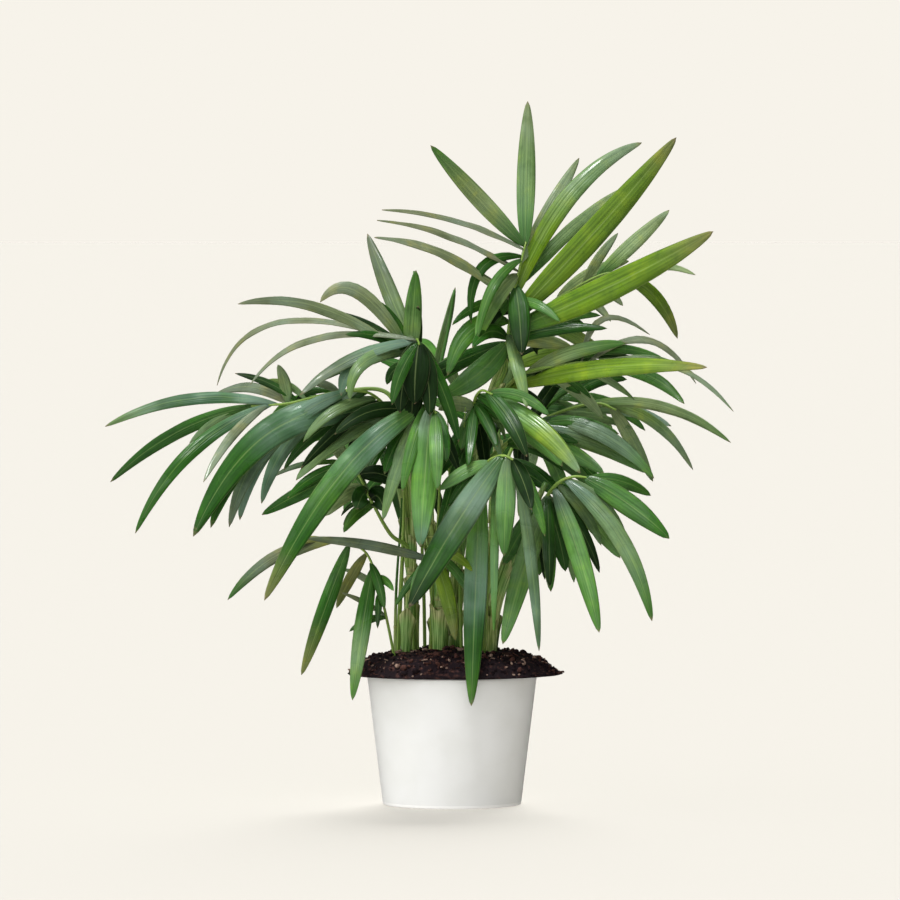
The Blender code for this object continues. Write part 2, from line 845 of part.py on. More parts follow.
def build_frond(frond, canes, home, spare):
    """One frond as one solid: sheath, rib and leaflets joined."""
    rib = tube(frond.name, frond.path, frond.radii, home, "Leaf_Green", sides=4)
    for k, leaf in enumerate(frond.leaflets):
        mesh_object(f"{frond.name}_{k}", leaf.blade(BLADE_THICK), spare)
    if frond.cane:
        path, low, high = canes[frond.cane]
        reach = SHEATH_LENGTH / 2.0
        ends = [at_height(path, frond.height - reach), at_height(path, frond.height + reach)]
        sleeve = [frond.grip + GAP + SHEATH_WALL] * 2
        tube(frond.name + "_Sheath", ends, sleeve, spare)
    join = rib.modifiers.new("Join", "BOOLEAN")
    join.operation = "UNION"
    join.operand_type = "COLLECTION"
    join.collection = spare
    bake(rib)
    for ob in list(spare.objects):
        remove(ob)
    if frond.cane:
        radii = [low + (high - low) * i / (len(path) - 1) + GAP for i in range(len(path))]
        core = tube("Core", path, radii, spare)
        cut = rib.modifiers.new("Core", "BOOLEAN")
        cut.operation = "DIFFERENCE"
        cut.object = core
        bake(rib)
        remove(core)
    return rib


def main():
    """Builds the whole plant."""
    for ob in list(bpy.data.objects):
        bpy.data.objects.remove(ob, do_unlink=True)
    home = collection("Potted_Bamboo_Palm")
    spare = collection("Joined_Repeats")
    rng = random.Random(SEED)
    canes = {}
    stems = []
    for name, (points, low, high) in CANES.items():
        path, radii = cane_shape(points, low, high)
        canes[name] = (path, low, high)
        stems.append((name, path, radii))
    fronds = [Frond(name, rng, canes) for name in FRONDS]
    left = bend_clear(fronds, canes)
    for pair in left:
        print("still crossing:", pair)
    build_pot(home)
    low_stems = [(f.name, f.path, f.radii) for f in fronds if not f.cane]
    build_soil(home, stems + low_stems)
    for name, path, radii in stems:
        tube(name, path, radii, home, "Cane_Olive")
    for frond in fronds:
        build_frond(frond, canes, home, spare)
    bpy.data.collections.remove(spare)


main()
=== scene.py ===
"""Looks of the potted bamboo palm: glazed pot, moist soil, ringed canes and waxy fronds.

Laid out as an add-on and run as a script. Tables are in millimetres, and the
frame is in metres: the origin is the middle of the pot's foot, +Z is up, +X is
the viewer's right and -Y points at the viewer.
"""

import math
import random
from functools import partial

import bmesh
import bpy
from bpy.props import FloatProperty, FloatVectorProperty, IntProperty, PointerProperty
from mathutils import Color, Matrix, Quaternion, Vector, noise
from mathutils.bvhtree import BVHTree


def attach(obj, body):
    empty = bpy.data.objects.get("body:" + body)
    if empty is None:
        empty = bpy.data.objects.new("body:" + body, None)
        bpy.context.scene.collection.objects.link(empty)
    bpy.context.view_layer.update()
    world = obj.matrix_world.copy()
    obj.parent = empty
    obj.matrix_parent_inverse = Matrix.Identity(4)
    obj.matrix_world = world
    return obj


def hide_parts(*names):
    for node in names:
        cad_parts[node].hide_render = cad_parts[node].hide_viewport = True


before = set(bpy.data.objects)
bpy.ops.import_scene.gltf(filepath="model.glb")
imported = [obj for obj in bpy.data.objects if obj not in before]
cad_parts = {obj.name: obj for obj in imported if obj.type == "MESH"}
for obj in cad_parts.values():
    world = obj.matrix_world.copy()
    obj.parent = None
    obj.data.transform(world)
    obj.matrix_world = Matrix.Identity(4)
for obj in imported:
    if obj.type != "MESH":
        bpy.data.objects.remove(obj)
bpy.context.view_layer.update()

bl_info = {
    "name": "Potted Bamboo Palm",
    "version": (1, 0, 0),
    "blender": (4, 5, 0),
    "location": "View3D > Sidebar > Palm",
    "description": "Models and dresses a potted bamboo palm around its frame",
    "category": "Add Mesh",
}

MM = 0.001
SEED = 11  # the same draws as the frame's own fronds
VIEWER = Vector((0.0, -1.0, 0.0))
UP = Vector((0.0, 0.0, 1.0))

# The frame's sizes
POT_RIM_R = 76.0
POT_FOOT_R = 61.8
POT_HEIGHT = 116.0
POT_SLOPE = (POT_RIM_R - POT_FOOT_R) / POT_HEIGHT
POT_WALL = 4.0
POT_FLOOR = 6.0
GAP = 0.3
CANE_FOOT = 58.0  # how high the canes start, inside the soil
SHEATH_WALL = 1.2
SHEATH_LENGTH = 26.0
RIB_FOOT_R = 2.3
PETIOLE_FOOT_R = 1.7
RIB_TIP_R = 0.9
LAST_ROOT = 0.97
ROOT_WIDTH = 2.6
TIP_WIDTH = 1.1
BLADE_FOLD = 0.2
BLADE_TWIST = 14.0
TIP_REACH = 1.3  # how near the frame's own leaf tip lies to the table's

# What scene.py adds
OPEN_ABOVE = 452.0  # higher up the fronds are open, with long leaflets only
OPEN_PAST = 0.74  # and so are the ends of the ribs, past this share of their length
STEPS = 8  # steps of a smooth path between two of its points
CANE_SIDES = 16
RING_RISE = 0.32
RING_GROOVE = 0.12
SHEATH_THICK = 0.35
OLD_SHEATH_THICK = 0.3
HEAP_LEAST = 70.0  # the heap reaches at least this far from the pot's middle
HEAP_MOST = 110.0
SEAM = 0.0005  # corners nearer than this are merged

# The kinds of node and the settings that come up most in the materials
MATH = "ShaderNodeMath"
MIX = "ShaderNodeMix"
NOISE = "ShaderNodeTexNoise"
RANGE = "ShaderNodeMapRange"
SMOOTH = {"interpolation_type": "SMOOTHSTEP"}
MIXED = {"data_type": "RGBA"}
MULTIPLIED = {"data_type": "RGBA", "blend_type": "MULTIPLY"}
WAX_IOR = 1.45

# The settings that come up most in the panel
COLOUR = {"subtype": "COLOR", "min": 0.0, "max": 1.0}
LENGTH = {"subtype": "DISTANCE", "unit": "LENGTH"}
FACTOR = {"subtype": "FACTOR", "min": 0.0, "max": 1.0}

# Each cane: radius at the soil, radius at the top, points up its middle
CANES = {
    "Cane_Left_Front": (4.0, 0.9, [
        (-41, -10, 58), (-42, -10, 121), (-38, -12, 192), (-34, -14, 255), (-36, -14, 326), (-36, -10, 392),
        (-33, -8, 436), (-34, -6, 477),
    ]),
    "Cane_Left_Rear": (3.8, 2.4, [
        (-30, 14, 58), (-32, 14, 121), (-36, 16, 200), (-44, 14, 290), (-50, 10, 378),
    ]),
    "Cane_Crown": (5.4, 2.6, [
        (-12, -14, 58), (-12, -14, 121), (-8, -12, 237), (3, -6, 282), (25, 6, 344), (45, 14, 392),
        (56, 22, 436),
    ]),
    "Cane_Middle": (5.8, 2.6, [
        (0, 16, 58), (1, 17, 121), (7, 22, 237), (20, 28, 310), (38, 34, 360), (48, 40, 392),
    ]),
    "Cane_Front": (4.6, 2.5, [
        (18, -24, 58), (19, -25, 121), (22, -28, 200), (21, -32, 260), (17, -34, 312),
    ]),
    "Cane_Right": (5.2, 2.5, [
        (34, -4, 58), (35, -4, 121), (40, -6, 183), (60, -8, 237), (78, -10, 276), (84, -8, 288),
    ]),
    "Cane_Back_Left": (4.6, 1.0, [
        (-13, 40, 58), (-13, 40, 121), (-18, 46, 220), (-22, 52, 310), (-12, 56, 382), (-4, 60, 420),
        (2, 60, 459),
    ]),
    "Cane_Back_Right": (4.4, 2.4, [
        (22, 42, 58), (24, 44, 121), (34, 54, 220), (40, 62, 300), (42, 68, 336),
    ]),
    "Shoot_Left": (2.0, 0.8, [(-50, 6, 58), (-51, 6, 121), (-50, 5, 190), (-46, 2, 250), (-45, 2, 274)]),
}

# Young shoots and stalks between the canes, as points up their middles, and their radius at the soil
SHOOTS = (
    ([(-20, -4, 108), (-17, -10, 200), (-12, -16, 260), (-10, -24, 342)], 1.8),
    ([(-6, 6, 108), (-4, 2, 200), (-2, -4, 270), (-4, -14, 352)], 1.6),
    ([(9, -6, 108), (7, -10, 200), (6, -12, 262), (12, -22, 356)], 1.7),
    ([(27, -16, 108), (31, -20, 190), (36, -22, 240), (48, -28, 306)], 2.0),
    ([(29, 8, 108), (40, 4, 176), (57, 0, 232), (76, -4, 272)], 1.9),
    ([(-49, -6, 108), (-47, -8, 168), (-44, -10, 230), (-42, -16, 312)], 2.1),
    ([(-34, 4, 108), (-34, 4, 200), (-38, 4, 280), (-46, 2, 346)], 1.7),
    ([(-24, 8, 108), (-25, 6, 180), (-27, 2, 250), (-24, -8, 330)], 1.6),
    ([(12, 14, 108), (15, 12, 190), (20, 8, 260), (30, 2, 330)], 1.8),
)
SHOOT_TIP_R = 0.4

# Each frond: its cane, the height of its sheath on it, and points along its rib after that
FRONDS = {
    "Frond_Crown": ("Cane_Crown", 382, [(50, 0, 420), (56, -2, 460), (66, 4, 503)]),
    "Frond_Crown_Rear": ("Cane_Middle", 326, [
        (58, 52, 400), (82, 62, 440), (110, 68, 460), (140, 74, 474), (161, 78, 469),
    ]),
    "Frond_Right_Upper": ("Cane_Middle", 356, [(62, 14, 384), (92, 6, 392), (123, 2, 395), (148, 0, 388)]),
    "Frond_Right_Lower": ("Cane_Middle", 288, [
        (55, 50, 326), (79, 58, 341), (106, 60, 352), (132, 58, 357), (148, 56, 351),
    ]),
    "Frond_Right_Low": ("Cane_Right", 254, [(92, -22, 286), (108, -24, 294), (126, -22, 292)]),
    "Frond_Centre_Front": ("Cane_Front", 278, [(32, -50, 308), (46, -58, 314), (58, -64, 308)]),
    "Frond_Centre_Upper": ("Cane_Crown", 334, [(20, -18, 360), (26, -34, 371), (36, -46, 368)]),
    "Frond_Front_Left": ("Cane_Left_Front", 326, [(-31, -32, 350), (-22, -52, 360), (-14, -68, 352)]),
    "Frond_Left_Big": ("Cane_Left_Rear", 316, [(-58, -20, 354), (-74, -32, 369), (-94, -44, 371)]),
    "Frond_Far_Left": ("Cane_Left_Rear", 354, [
        (-68, 18, 371), (-98, 20, 369), (-127, 16, 363), (-149, 14, 358), (-180, 12, 356),
    ]),
    "Frond_Upper_Left": ("Cane_Left_Front", 368, [
        (-38, -28, 396), (-34, -42, 411), (-31, -56, 417), (-29, -68, 413),
    ]),
    "Frond_Left_Dark": ("Cane_Left_Front", 222, [
        (-55, -24, 243), (-72, -28, 273), (-86, -32, 300), (-104, -30, 308),
    ]),
    "Frond_Low_Left": (None, 58, [
        (-50, -26, 90), (-50, -26, 121), (-54, -28, 147), (-64, -32, 192), (-76, -36, 226), (-97, -40, 236),
        (-127, -44, 239),
    ]),
    "Frond_Small": ("Cane_Crown", 196, [(-18, -36, 222), (-14, -46, 230)]),
    "Frond_Back_Left": ("Cane_Back_Left", 262, [(-38, 84, 312), (-52, 124, 324), (-68, 160, 310)]),
    "Frond_Back_Upper": ("Cane_Back_Left", 304, [(-34, 88, 352), (-24, 116, 380), (-10, 144, 388)]),
    "Frond_Back_Right": ("Cane_Back_Right", 262, [(54, 102, 314), (68, 142, 324), (84, 176, 310)]),
    "Frond_Back_Side": ("Cane_Back_Right", 304, [(74, 96, 346), (96, 116, 360), (118, 130, 356)]),
}

# The leaflets of each frond as the frame has them. A leaflet is where it leaves the rib (0 to 1), its
# tip (x, y, z), its greatest width, how high its middle arches above a straight line, how far its
# face is turned up from the viewer in degrees, where along it the arch peaks if not in the middle,
# and its greens from root to tip, as letters of the table below.
LEAFLETS = {
    "Frond_Crown": [
        (0.4, 230, -96, 513, 26, -4, 20, "myyo"), (0.47, 199, -40, 596, 24, -3, 10, "yyyyo"),
        (0.6, 171, 66, 592, 17, 22, 10, 0.6, "yyue"), (0.68, 153, 104, 550, 13, 5, 20, "mg"),
        (0.86, 115, 84, 578, 13, 1, 0, "gee"), (1.0, 68, 44, 629, 17, 0, 0, "mue"),
        (0.98, -19, -34, 589, 16, -1, 0, "mgm"), (0.95, -62, -62, 532, 13, 9, 70, "p"),
        (0.8, -66, -92, 523, 13, 9, 66, "p"), (0.6, -68, -118, 508, 15, 13, 56, "ep"),
        (0.9, 17, -34, 431, 10, 26, 10, "d"), (0.46, -4, -54, 385, 18, 19, 10, "mm"),
        (0.32, -8, -24, 366, 22, -5, 10, "mB"), (0.7, 62, -36, 403, 20, 5, 0, "dk"),
        (0.34, 108, 12, 408, 14, 3, 10, "g"), (0.78, 22, -44, 414, 17, 9, 10, "gB"),
        (0.64, 30, -20, 421, 14, 4, 0, "m"),
    ],
    "Frond_Crown_Rear": [
        (0.8, 151, 130, 510, 9, 2, 0, "ge"), (0.86, 198, 140, 531, 14, 0, 10, "mge"),
        (1.0, 219, 50, 473, 10, 9, 45, "g"), (1.0, 205, 124, 414, 13, 11, 0, "yyo"),
        (0.82, 154, 60, 445, 9, 3, 20, "e"), (0.76, 143, 48, 431, 9, 3, 20, "e"),
        (0.68, 162, 170, 484, 13, 6, 10, "g"), (0.56, 150, 96, 387, 14, 6, 20, "Yg"),
        (0.45, 80, 150, 420, 14, 8, 20, "d"), (0.35, 118, 40, 404, 14, 4, 20, "Y"),
    ],
    "Frond_Right_Upper": [
        (0.22, 225, -86, 393, 19, 9, 30, "YYYo"), (0.4, 155, -14, 413, 14, 6, 20, "gm"),
        (0.76, 177, 10, 420, 10, 30, 54, "p"), (0.8, 220, 56, 375, 12, 31, 62, "p"),
        (0.84, 250, -44, 353, 9, 22, 52, "e"), (1.0, 206, -56, 360, 13, 9, 25, "m"),
        (0.7, 164, 30, 361, 8, 4, 30, "gu"), (0.5, 136, 50, 344, 14, 6, 20, "g"),
    ],
    "Frond_Right_Lower": [
        (0.78, 252, 76, 321, 11, 18, 25, "mgu"), (0.88, 219, 110, 295, 11, 17, 20, "gue"),
        (1.0, 183, 126, 284, 13, 3, 10, "gu"), (0.6, 181, 16, 291, 15, 13, 15, "gwB"),
        (0.48, 176, 30, 295, 18, 10, 10, "wuB"), (0.7, 200, 140, 334, 13, 10, 20, "uw"),
        (0.5, 112, 100, 391, 13, 6, 10, "k"), (0.4, 130, 110, 276, 15, 8, 10, "m"),
        (0.45, 136, 6, 296, 16, 4, 10, "B"),
    ],
    "Frond_Right_Low": [
        (0.46, 45, -64, 147, 20, 3, 0, "uB"), (0.3, 46, -36, 216, 16, 3, 0, "m"),
        (0.55, 130, -92, 159, 18, 6, 0, "bBm"), (0.7, 177, -70, 168, 16, 16, 10, "cum"),
        (0.38, 122, 16, 192, 22, 6, 0, "wgB"), (0.3, 78, -24, 206, 16, 3, 0, "B"),
        (0.4, 101, -34, 210, 18, 3, 0, "d"), (0.62, 151, 24, 219, 16, 2, 10, "YB"),
        (0.9, 193, -50, 240, 21, 4, 15, "mmd"), (0.96, 178, 4, 276, 13, 5, 20, "m"),
    ],
    "Frond_Centre_Front": [
        (0.8, -38, -112, 182, 27, 4, 10, "mbdk"), (0.36, 17, -92, 94, 21, 2, 0, "mBcdm"),
        (0.6, -11, -70, 284, 13, 3, 20, "B"), (1.0, 77, -84, 142, 11, 4, 0, "ub"),
        (0.92, 70, -100, 268, 15, 4, 0, "k"), (0.86, 46, -84, 226, 18, 3, 0, "uBm"),
    ],
    "Frond_Centre_Upper": [
        (0.7, 113, -96, 300, 20, 10, 15, "mBYu"), (0.6, 98, -44, 304, 20, 8, 10, "B"),
        (0.5, 14, -64, 304, 11, 4, 10, "d"), (0.36, 8, -30, 318, 14, 5, 10, "m"),
        (0.9, 66, -84, 314, 16, 6, 10, "dk"), (0.4, -12, -36, 354, 14, 6, 10, "g"),
        (0.28, -12, -40, 294, 15, 4, 0, "d"),
    ],
    "Frond_Front_Left": [
        (0.7, -165, -122, 189, 24, 20, 15, 0.36, "Bcmdo"), (0.85, -28, -104, 235, 25, 3, 0, "wmBc"),
        (1.0, -13, -112, 286, 13, 3, 0, "mBm"), (0.5, -104, -60, 333, 15, 12, 20, "k"),
    ],
    "Frond_Left_Big": [
        (0.45, -229, -74, 243, 29, 45, 15, 0.42, "mcdd"), (0.62, -214, -60, 250, 21, 38, 10, "mcdd"),
        (0.8, -198, -48, 250, 18, 30, 10, "dcs"), (1.0, -189, -36, 256, 17, 24, 10, "cc"),
        (0.9, -170, -20, 270, 16, 18, 10, "wc"),
    ],
    "Frond_Far_Left": [
        (0.84, -310, 0, 338, 12, 15, 30, "ccu"), (1.0, -308, 60, 286, 13, 12, 15, "mdd"),
        (0.88, -281, -56, 245, 13, 20, 15, "cdd"), (0.9, -220, -70, 291, 9, 9, 15, "p"),
        (0.78, -215, 76, 364, 11, 11, 30, "ps"), (0.78, -156, 14, 393, 11, 2, 0, "ue"),
        (0.46, -127, -10, 377, 8, 3, 30, "p"), (0.6, -138, 96, 322, 13, 8, 20, "d"),
    ],
    "Frond_Upper_Left": [
        (0.55, -117, -50, 450, 13, 25, 10, 0.95, "cep"), (0.5, -189, -84, 449, 13, 19, 45, 0.6, "es"),
        (0.7, -211, 30, 374, 10, 45, 60, 0.78, "p"), (0.85, -180, -10, 376, 11, 25, 58, 0.64, "p"),
        (0.8, -134, -100, 369, 13, 10, 35, "cs"), (0.6, -98, -84, 368, 15, 18, 10, 0.8, "uc"),
        (0.66, -76, 30, 510, 15, -2, 0, "us"), (0.5, -32, -30, 478, 16, 3, 0, "um"),
        (1.0, -33, -82, 360, 26, 6, 0, "k"),
    ],
    "Frond_Left_Dark": [
        (0.86, -169, -44, 261, 14, 2, 10, "md"), (1.0, -163, 0, 292, 7, 6, 45, "ms"),
        (0.7, -112, -66, 261, 15, 6, 10, "gg"), (0.6, -60, -70, 265, 20, 8, 10, "k"),
        (0.66, -84, -92, 268, 18, 4, 0, "dk"), (0.75, -54, 0, 330, 14, 6, 10, "d"),
        (0.9, -120, 20, 330, 13, 6, 10, "g"),
    ],
    "Frond_Low_Left": [
        (1.0, -199, -62, 186, 11, 9, 20, "ssd"), (0.84, -133, -84, 121, 14, 1, 0, "mdo"),
        (0.76, -103, -30, 177, 10, 2, 0, "o"), (0.7, -88, -90, 99, 15, 3, 0, "mdum"),
        (0.9, -140, -20, 223, 7, 3, 30, "os"), (0.5, -98, -50, 192, 6, 2, 40, "p"),
        (0.72, -60, -60, 178, 9, 3, 10, "d"),
    ],
    "Frond_Small": [
        (0.9, 3, -58, 150, 14, 3, 0, "yYo"), (1.0, 18, -70, 212, 9, 5, 10, "YY"),
        (0.7, -130, -64, 241, 10, 4, 20, "s"),
    ],
    "Frond_Back_Left": [
        (0.6, -146, 130, 314, 14, 14, 40, "m"), (0.75, -130, 200, 254, 14, 14, 30, "d"),
        (1.0, -100, 250, 250, 14, 12, 20, "m"), (0.95, -46, 262, 236, 14, 12, 20, "d"),
        (0.7, 10, 190, 278, 14, 12, 30, "m"), (0.5, -128, 96, 350, 13, 10, 30, "u"),
        (0.86, -118, 236, 300, 13, 10, 20, "m"),
    ],
    "Frond_Back_Upper": [
        (0.6, -66, 130, 394, 13, 10, 30, "d"), (0.75, -48, 190, 368, 13, 12, 30, "m"),
        (0.95, 8, 226, 356, 13, 12, 20, "u"), (0.85, 66, 190, 392, 13, 12, 30, "m"),
        (0.6, 60, 140, 410, 13, 8, 20, "d"), (1.0, -34, 220, 408, 13, 8, 20, "m"),
    ],
    "Frond_Back_Right": [
        (0.6, 158, 150, 316, 14, 12, 40, "m"), (0.75, 148, 214, 258, 14, 14, 30, "d"),
        (0.99, 112, 262, 236, 14, 12, 20, "m"), (0.91, 62, 270, 246, 14, 12, 20, "u"),
        (0.7, 6, 216, 280, 14, 12, 30, "d"), (0.8, 150, 236, 300, 13, 10, 20, "m"),
    ],
    "Frond_Back_Side": [
        (0.6, 130, 70, 326, 14, 8, 20, "d"), (0.8, 176, 130, 330, 13, 12, 30, "m"),
        (1.0, 150, 190, 308, 13, 12, 20, "u"), (0.7, 96, 190, 362, 13, 12, 20, "m"),
        (0.9, 160, 160, 376, 13, 8, 20, "d"), (0.8, 70, 186, 330, 13, 10, 20, "m"),
    ],
}

# Smaller leaflets in the clump, too many for the frame, written in the same way
INNER_LEAFLETS = {
    "Frond_Crown": [
        (0.88, 23, -52, 418, 10, 15, 10, "m"), (0.34, 18, -66, 410, 13, 11, 10, "d"),
        (0.52, 34, -20, 428, 11, 8, 20, "k"), (0.6, 96, -30, 432, 10, 6, 20, "m"),
    ],
    "Frond_Crown_Rear": [(0.5, 134, 70, 436, 10, 6, 10, "m"), (0.3, 60, 110, 378, 11, 6, 10, "k")],
    "Frond_Right_Upper": [
        (0.6, 190, 20, 398, 10, 12, 20, "m"), (0.3, 116, 30, 366, 12, 8, 10, "d"),
        (0.18, 84, 20, 350, 13, 5, 10, "k"), (0.9, 222, 10, 380, 8, 12, 20, "u"),
    ],
    "Frond_Right_Lower": [
        (0.2, 92, 20, 276, 14, 6, 10, "d"), (0.66, 162, 84, 302, 11, 10, 10, "m"),
        (0.34, 114, 24, 322, 12, 8, 10, "d"), (0.52, 150, 40, 330, 11, 8, 20, "m"),
        (0.14, 48, 60, 352, 11, 5, 10, "k"),
    ],
    "Frond_Right_Low": [
        (0.35, 88, -34, 192, 14, 3, 0, "m"), (0.45, 109, -12, 199, 11, 4, 0, "u"),
        (0.6, 144, -8, 246, 11, 5, 10, "d"), (0.25, 62, -14, 232, 12, 3, 0, "k"),
    ],
    "Frond_Centre_Front": [
        (0.7, 37, -74, 158, 8, 2, 0, "B"), (0.3, 2, -58, 226, 11, 3, 0, "mB"),
        (0.96, 82, -92, 244, 11, 5, 10, "m"), (0.5, 4, -54, 262, 12, 5, 10, "u"),
    ],
    "Frond_Centre_Upper": [
        (0.34, -14, -52, 238, 11, 3, 0, "d"), (0.95, 86, -66, 350, 11, 7, 10, "m"),
        (0.55, 40, -60, 322, 11, 4, 10, "d"), (0.22, 30, -20, 296, 12, 3, 0, "k"),
        (0.45, 52, -40, 340, 11, 5, 20, "m"),
    ],
    "Frond_Front_Left": [
        (0.95, -5, -88, 310, 14, 3, 0, "d"), (0.6, 6, -50, 300, 13, 4, 10, "k"),
        (0.3, -8, -30, 296, 12, 3, 0, "d"), (0.4, -60, -64, 298, 14, 6, 10, "d"),
        (0.55, -82, -76, 300, 12, 8, 10, "m"), (0.75, -44, -90, 284, 12, 4, 0, "m"),
    ],
    "Frond_Left_Big": [
        (0.5, -150, -30, 300, 12, 16, 10, "d"), (0.35, -92, -20, 318, 13, 8, 10, "k"),
        (0.7, -132, -56, 326, 11, 10, 20, "u"),
    ],
    "Frond_Far_Left": [
        (0.4, -100, 40, 334, 11, 6, 10, "d"), (0.62, -170, 60, 330, 10, 9, 20, "m"),
        (0.9, -236, 30, 322, 8, 9, 20, "u"),
    ],
    "Frond_Upper_Left": [
        (1.0, -53, -84, 360, 12, 5, 0, "d"), (0.62, -90, -96, 364, 12, 21, 10, 0.8, "u"),
        (0.8, -10, -60, 366, 10, 5, 0, "k"), (0.92, -46, -66, 352, 19, 4, 0, "k"),
        (0.95, -20, -70, 350, 18, 4, 0, "k"), (0.3, -30, -34, 446, 17, 3, 0, "dk"),
        (0.75, -36, -54, 344, 24, 3, 0, "k"), (0.97, 6, -58, 326, 13, 4, 10, "d"),
        (0.25, -44, -18, 404, 14, 5, 10, "k"), (0.4, -58, -20, 376, 11, 6, 10, "d"),
    ],
    "Frond_Left_Dark": [
        (0.8, -44, -44, 284, 16, 7, 10, "k"), (0.55, -96, -60, 246, 11, 6, 10, "m"),
        (0.92, -146, -50, 276, 10, 5, 10, "d"),
    ],
    "Frond_Low_Left": [
        (0.92, -152, -54, 214, 7, 12, 20, "o"), (0.6, -97, -30, 212, 7, 3, 20, "e"),
        (0.66, -52, -56, 194, 7, 3, 10, "m"),
    ],
    "Frond_Small": [(0.8, -36, -70, 190, 10, 4, 0, "cB"), (0.95, 24, -52, 178, 9, 4, 0, "m")],
    "Frond_Back_Upper": [(0.9, 3, 100, 461, 8, -2, 0, "u"), (0.4, -64, 110, 340, 11, 8, 20, "d")],
    "Frond_Back_Left": [(0.4, -84, 90, 262, 12, 8, 20, "d"), (0.3, -10, 80, 250, 12, 6, 10, "k")],
    "Frond_Back_Right": [(0.4, 104, 80, 262, 12, 8, 20, "d"), (0.3, 20, 90, 262, 12, 6, 10, "k")],
    "Frond_Back_Side": [(0.4, 60, 100, 300, 12, 8, 20, "k"), (0.5, 130, 110, 380, 11, 6, 20, "m")],
}

# The greens of the leaflets, as sRGB, with the share of blue-grey painted sheen on their wax
LEAF_TONES = {
    "g": ("#788B5F", 0.15),  # soft grey-green of the top leaves
    "y": ("#557500", 0.03),  # yellow-green of young leaves in full light
    "Y": ("#688819", 0.03),  # the palest, at the right
    "B": ("#518331", 0.18),  # bright fresh green
    "o": ("#6C723C", 0.05),  # olive
    "u": ("#5C7A45", 0.18),  # cool grey-green
    "b": ("#426343", 0.38),  # blue-green, a painted reflection of the sky on the wax
    "c": ("#305D39", 0.38),  # blue-green of the centre, its own green with painted sheen
    "w": ("#72907A", 0.60),  # painted highlight, a blue-white sheen on the wax, almost white
    "s": ("#505A43", 0.20),  # painted shade, the dull grey-green of a leaf turned from the light
    "m": ("#3A6B1A", 0.08),  # mid green
    "d": ("#225404", 0.03),  # darker green inside the clump, painted shade
    "k": ("#0D2C00", 0.00),  # the darkest, painted deep shade inside the clump
    "e": ("#6B7A59", 0.25),  # thin leaves seen on edge, greyer
    "p": ("#70775F", 0.25),  # the thinnest, greyer still
}


def srgb(text):
    """A hex colour as linear red, green and blue."""
    parts = [int(text[i : i + 2], 16) / 255.0 for i in (1, 3, 5)]
    return tuple(c / 12.92 if c <= 0.04045 else ((c + 0.055) / 1.055) ** 2.4 for c in parts)


def colour(value):
    """A hex colour, or red, green and blue, as a shader takes it, with a full alpha."""
    return (*(srgb(value) if isinstance(value, str) else value), 1.0)


def add_node(tree, kind, links=None, **settings):
    """Adds a node with its settings. Each link is a node, for the first of its outputs in use,
    an output, a colour, or a plain value for that input."""
    made = tree.nodes.new(kind)
    for key, value in settings.items():
        setattr(made, key, value)
    for key, source in (links or {}).items():
        if isinstance(source, bpy.types.Node):
            source = next(socket for socket in source.outputs if socket.enabled)
        if isinstance(source, bpy.types.NodeSocket):
            tree.links.new(source, made.inputs[key])
        else:
            made.inputs[key].default_value = colour(source) if isinstance(source, (str, Color)) else source
    return made


def new_material(name):
    """An empty material, and the call that adds a node to it."""
    mat = bpy.data.materials.new(name)
    mat.use_nodes = True
    mat.node_tree.nodes.clear()
    return mat, partial(add_node, mat.node_tree)


def blend(node, mask, start, end, under, over, first=0.0, last=1.0):
    """Lays one colour over another: its share goes from the first to the last as the mask goes
    from start to end."""
    share = node(RANGE, {0: mask, 1: start, 2: end, 3: first, 4: last}, **SMOOTH)
    return node(MIX, {0: share, 6: under, 7: over}, **MIXED)


def finish_material(node, links, height=None, strength=0.0, depth=0.0):
    """Gives a material its bump, as deep as it says in millimetres, its shader and its output."""
    if height is not None:
        bump = {"Height": height, "Strength": strength, "Distance": depth * MM}
        links["Normal"] = node("ShaderNodeBump", bump)
    shader = node("ShaderNodeBsdfPrincipled", links)
    node("ShaderNodeOutputMaterial", {"Surface": shader})


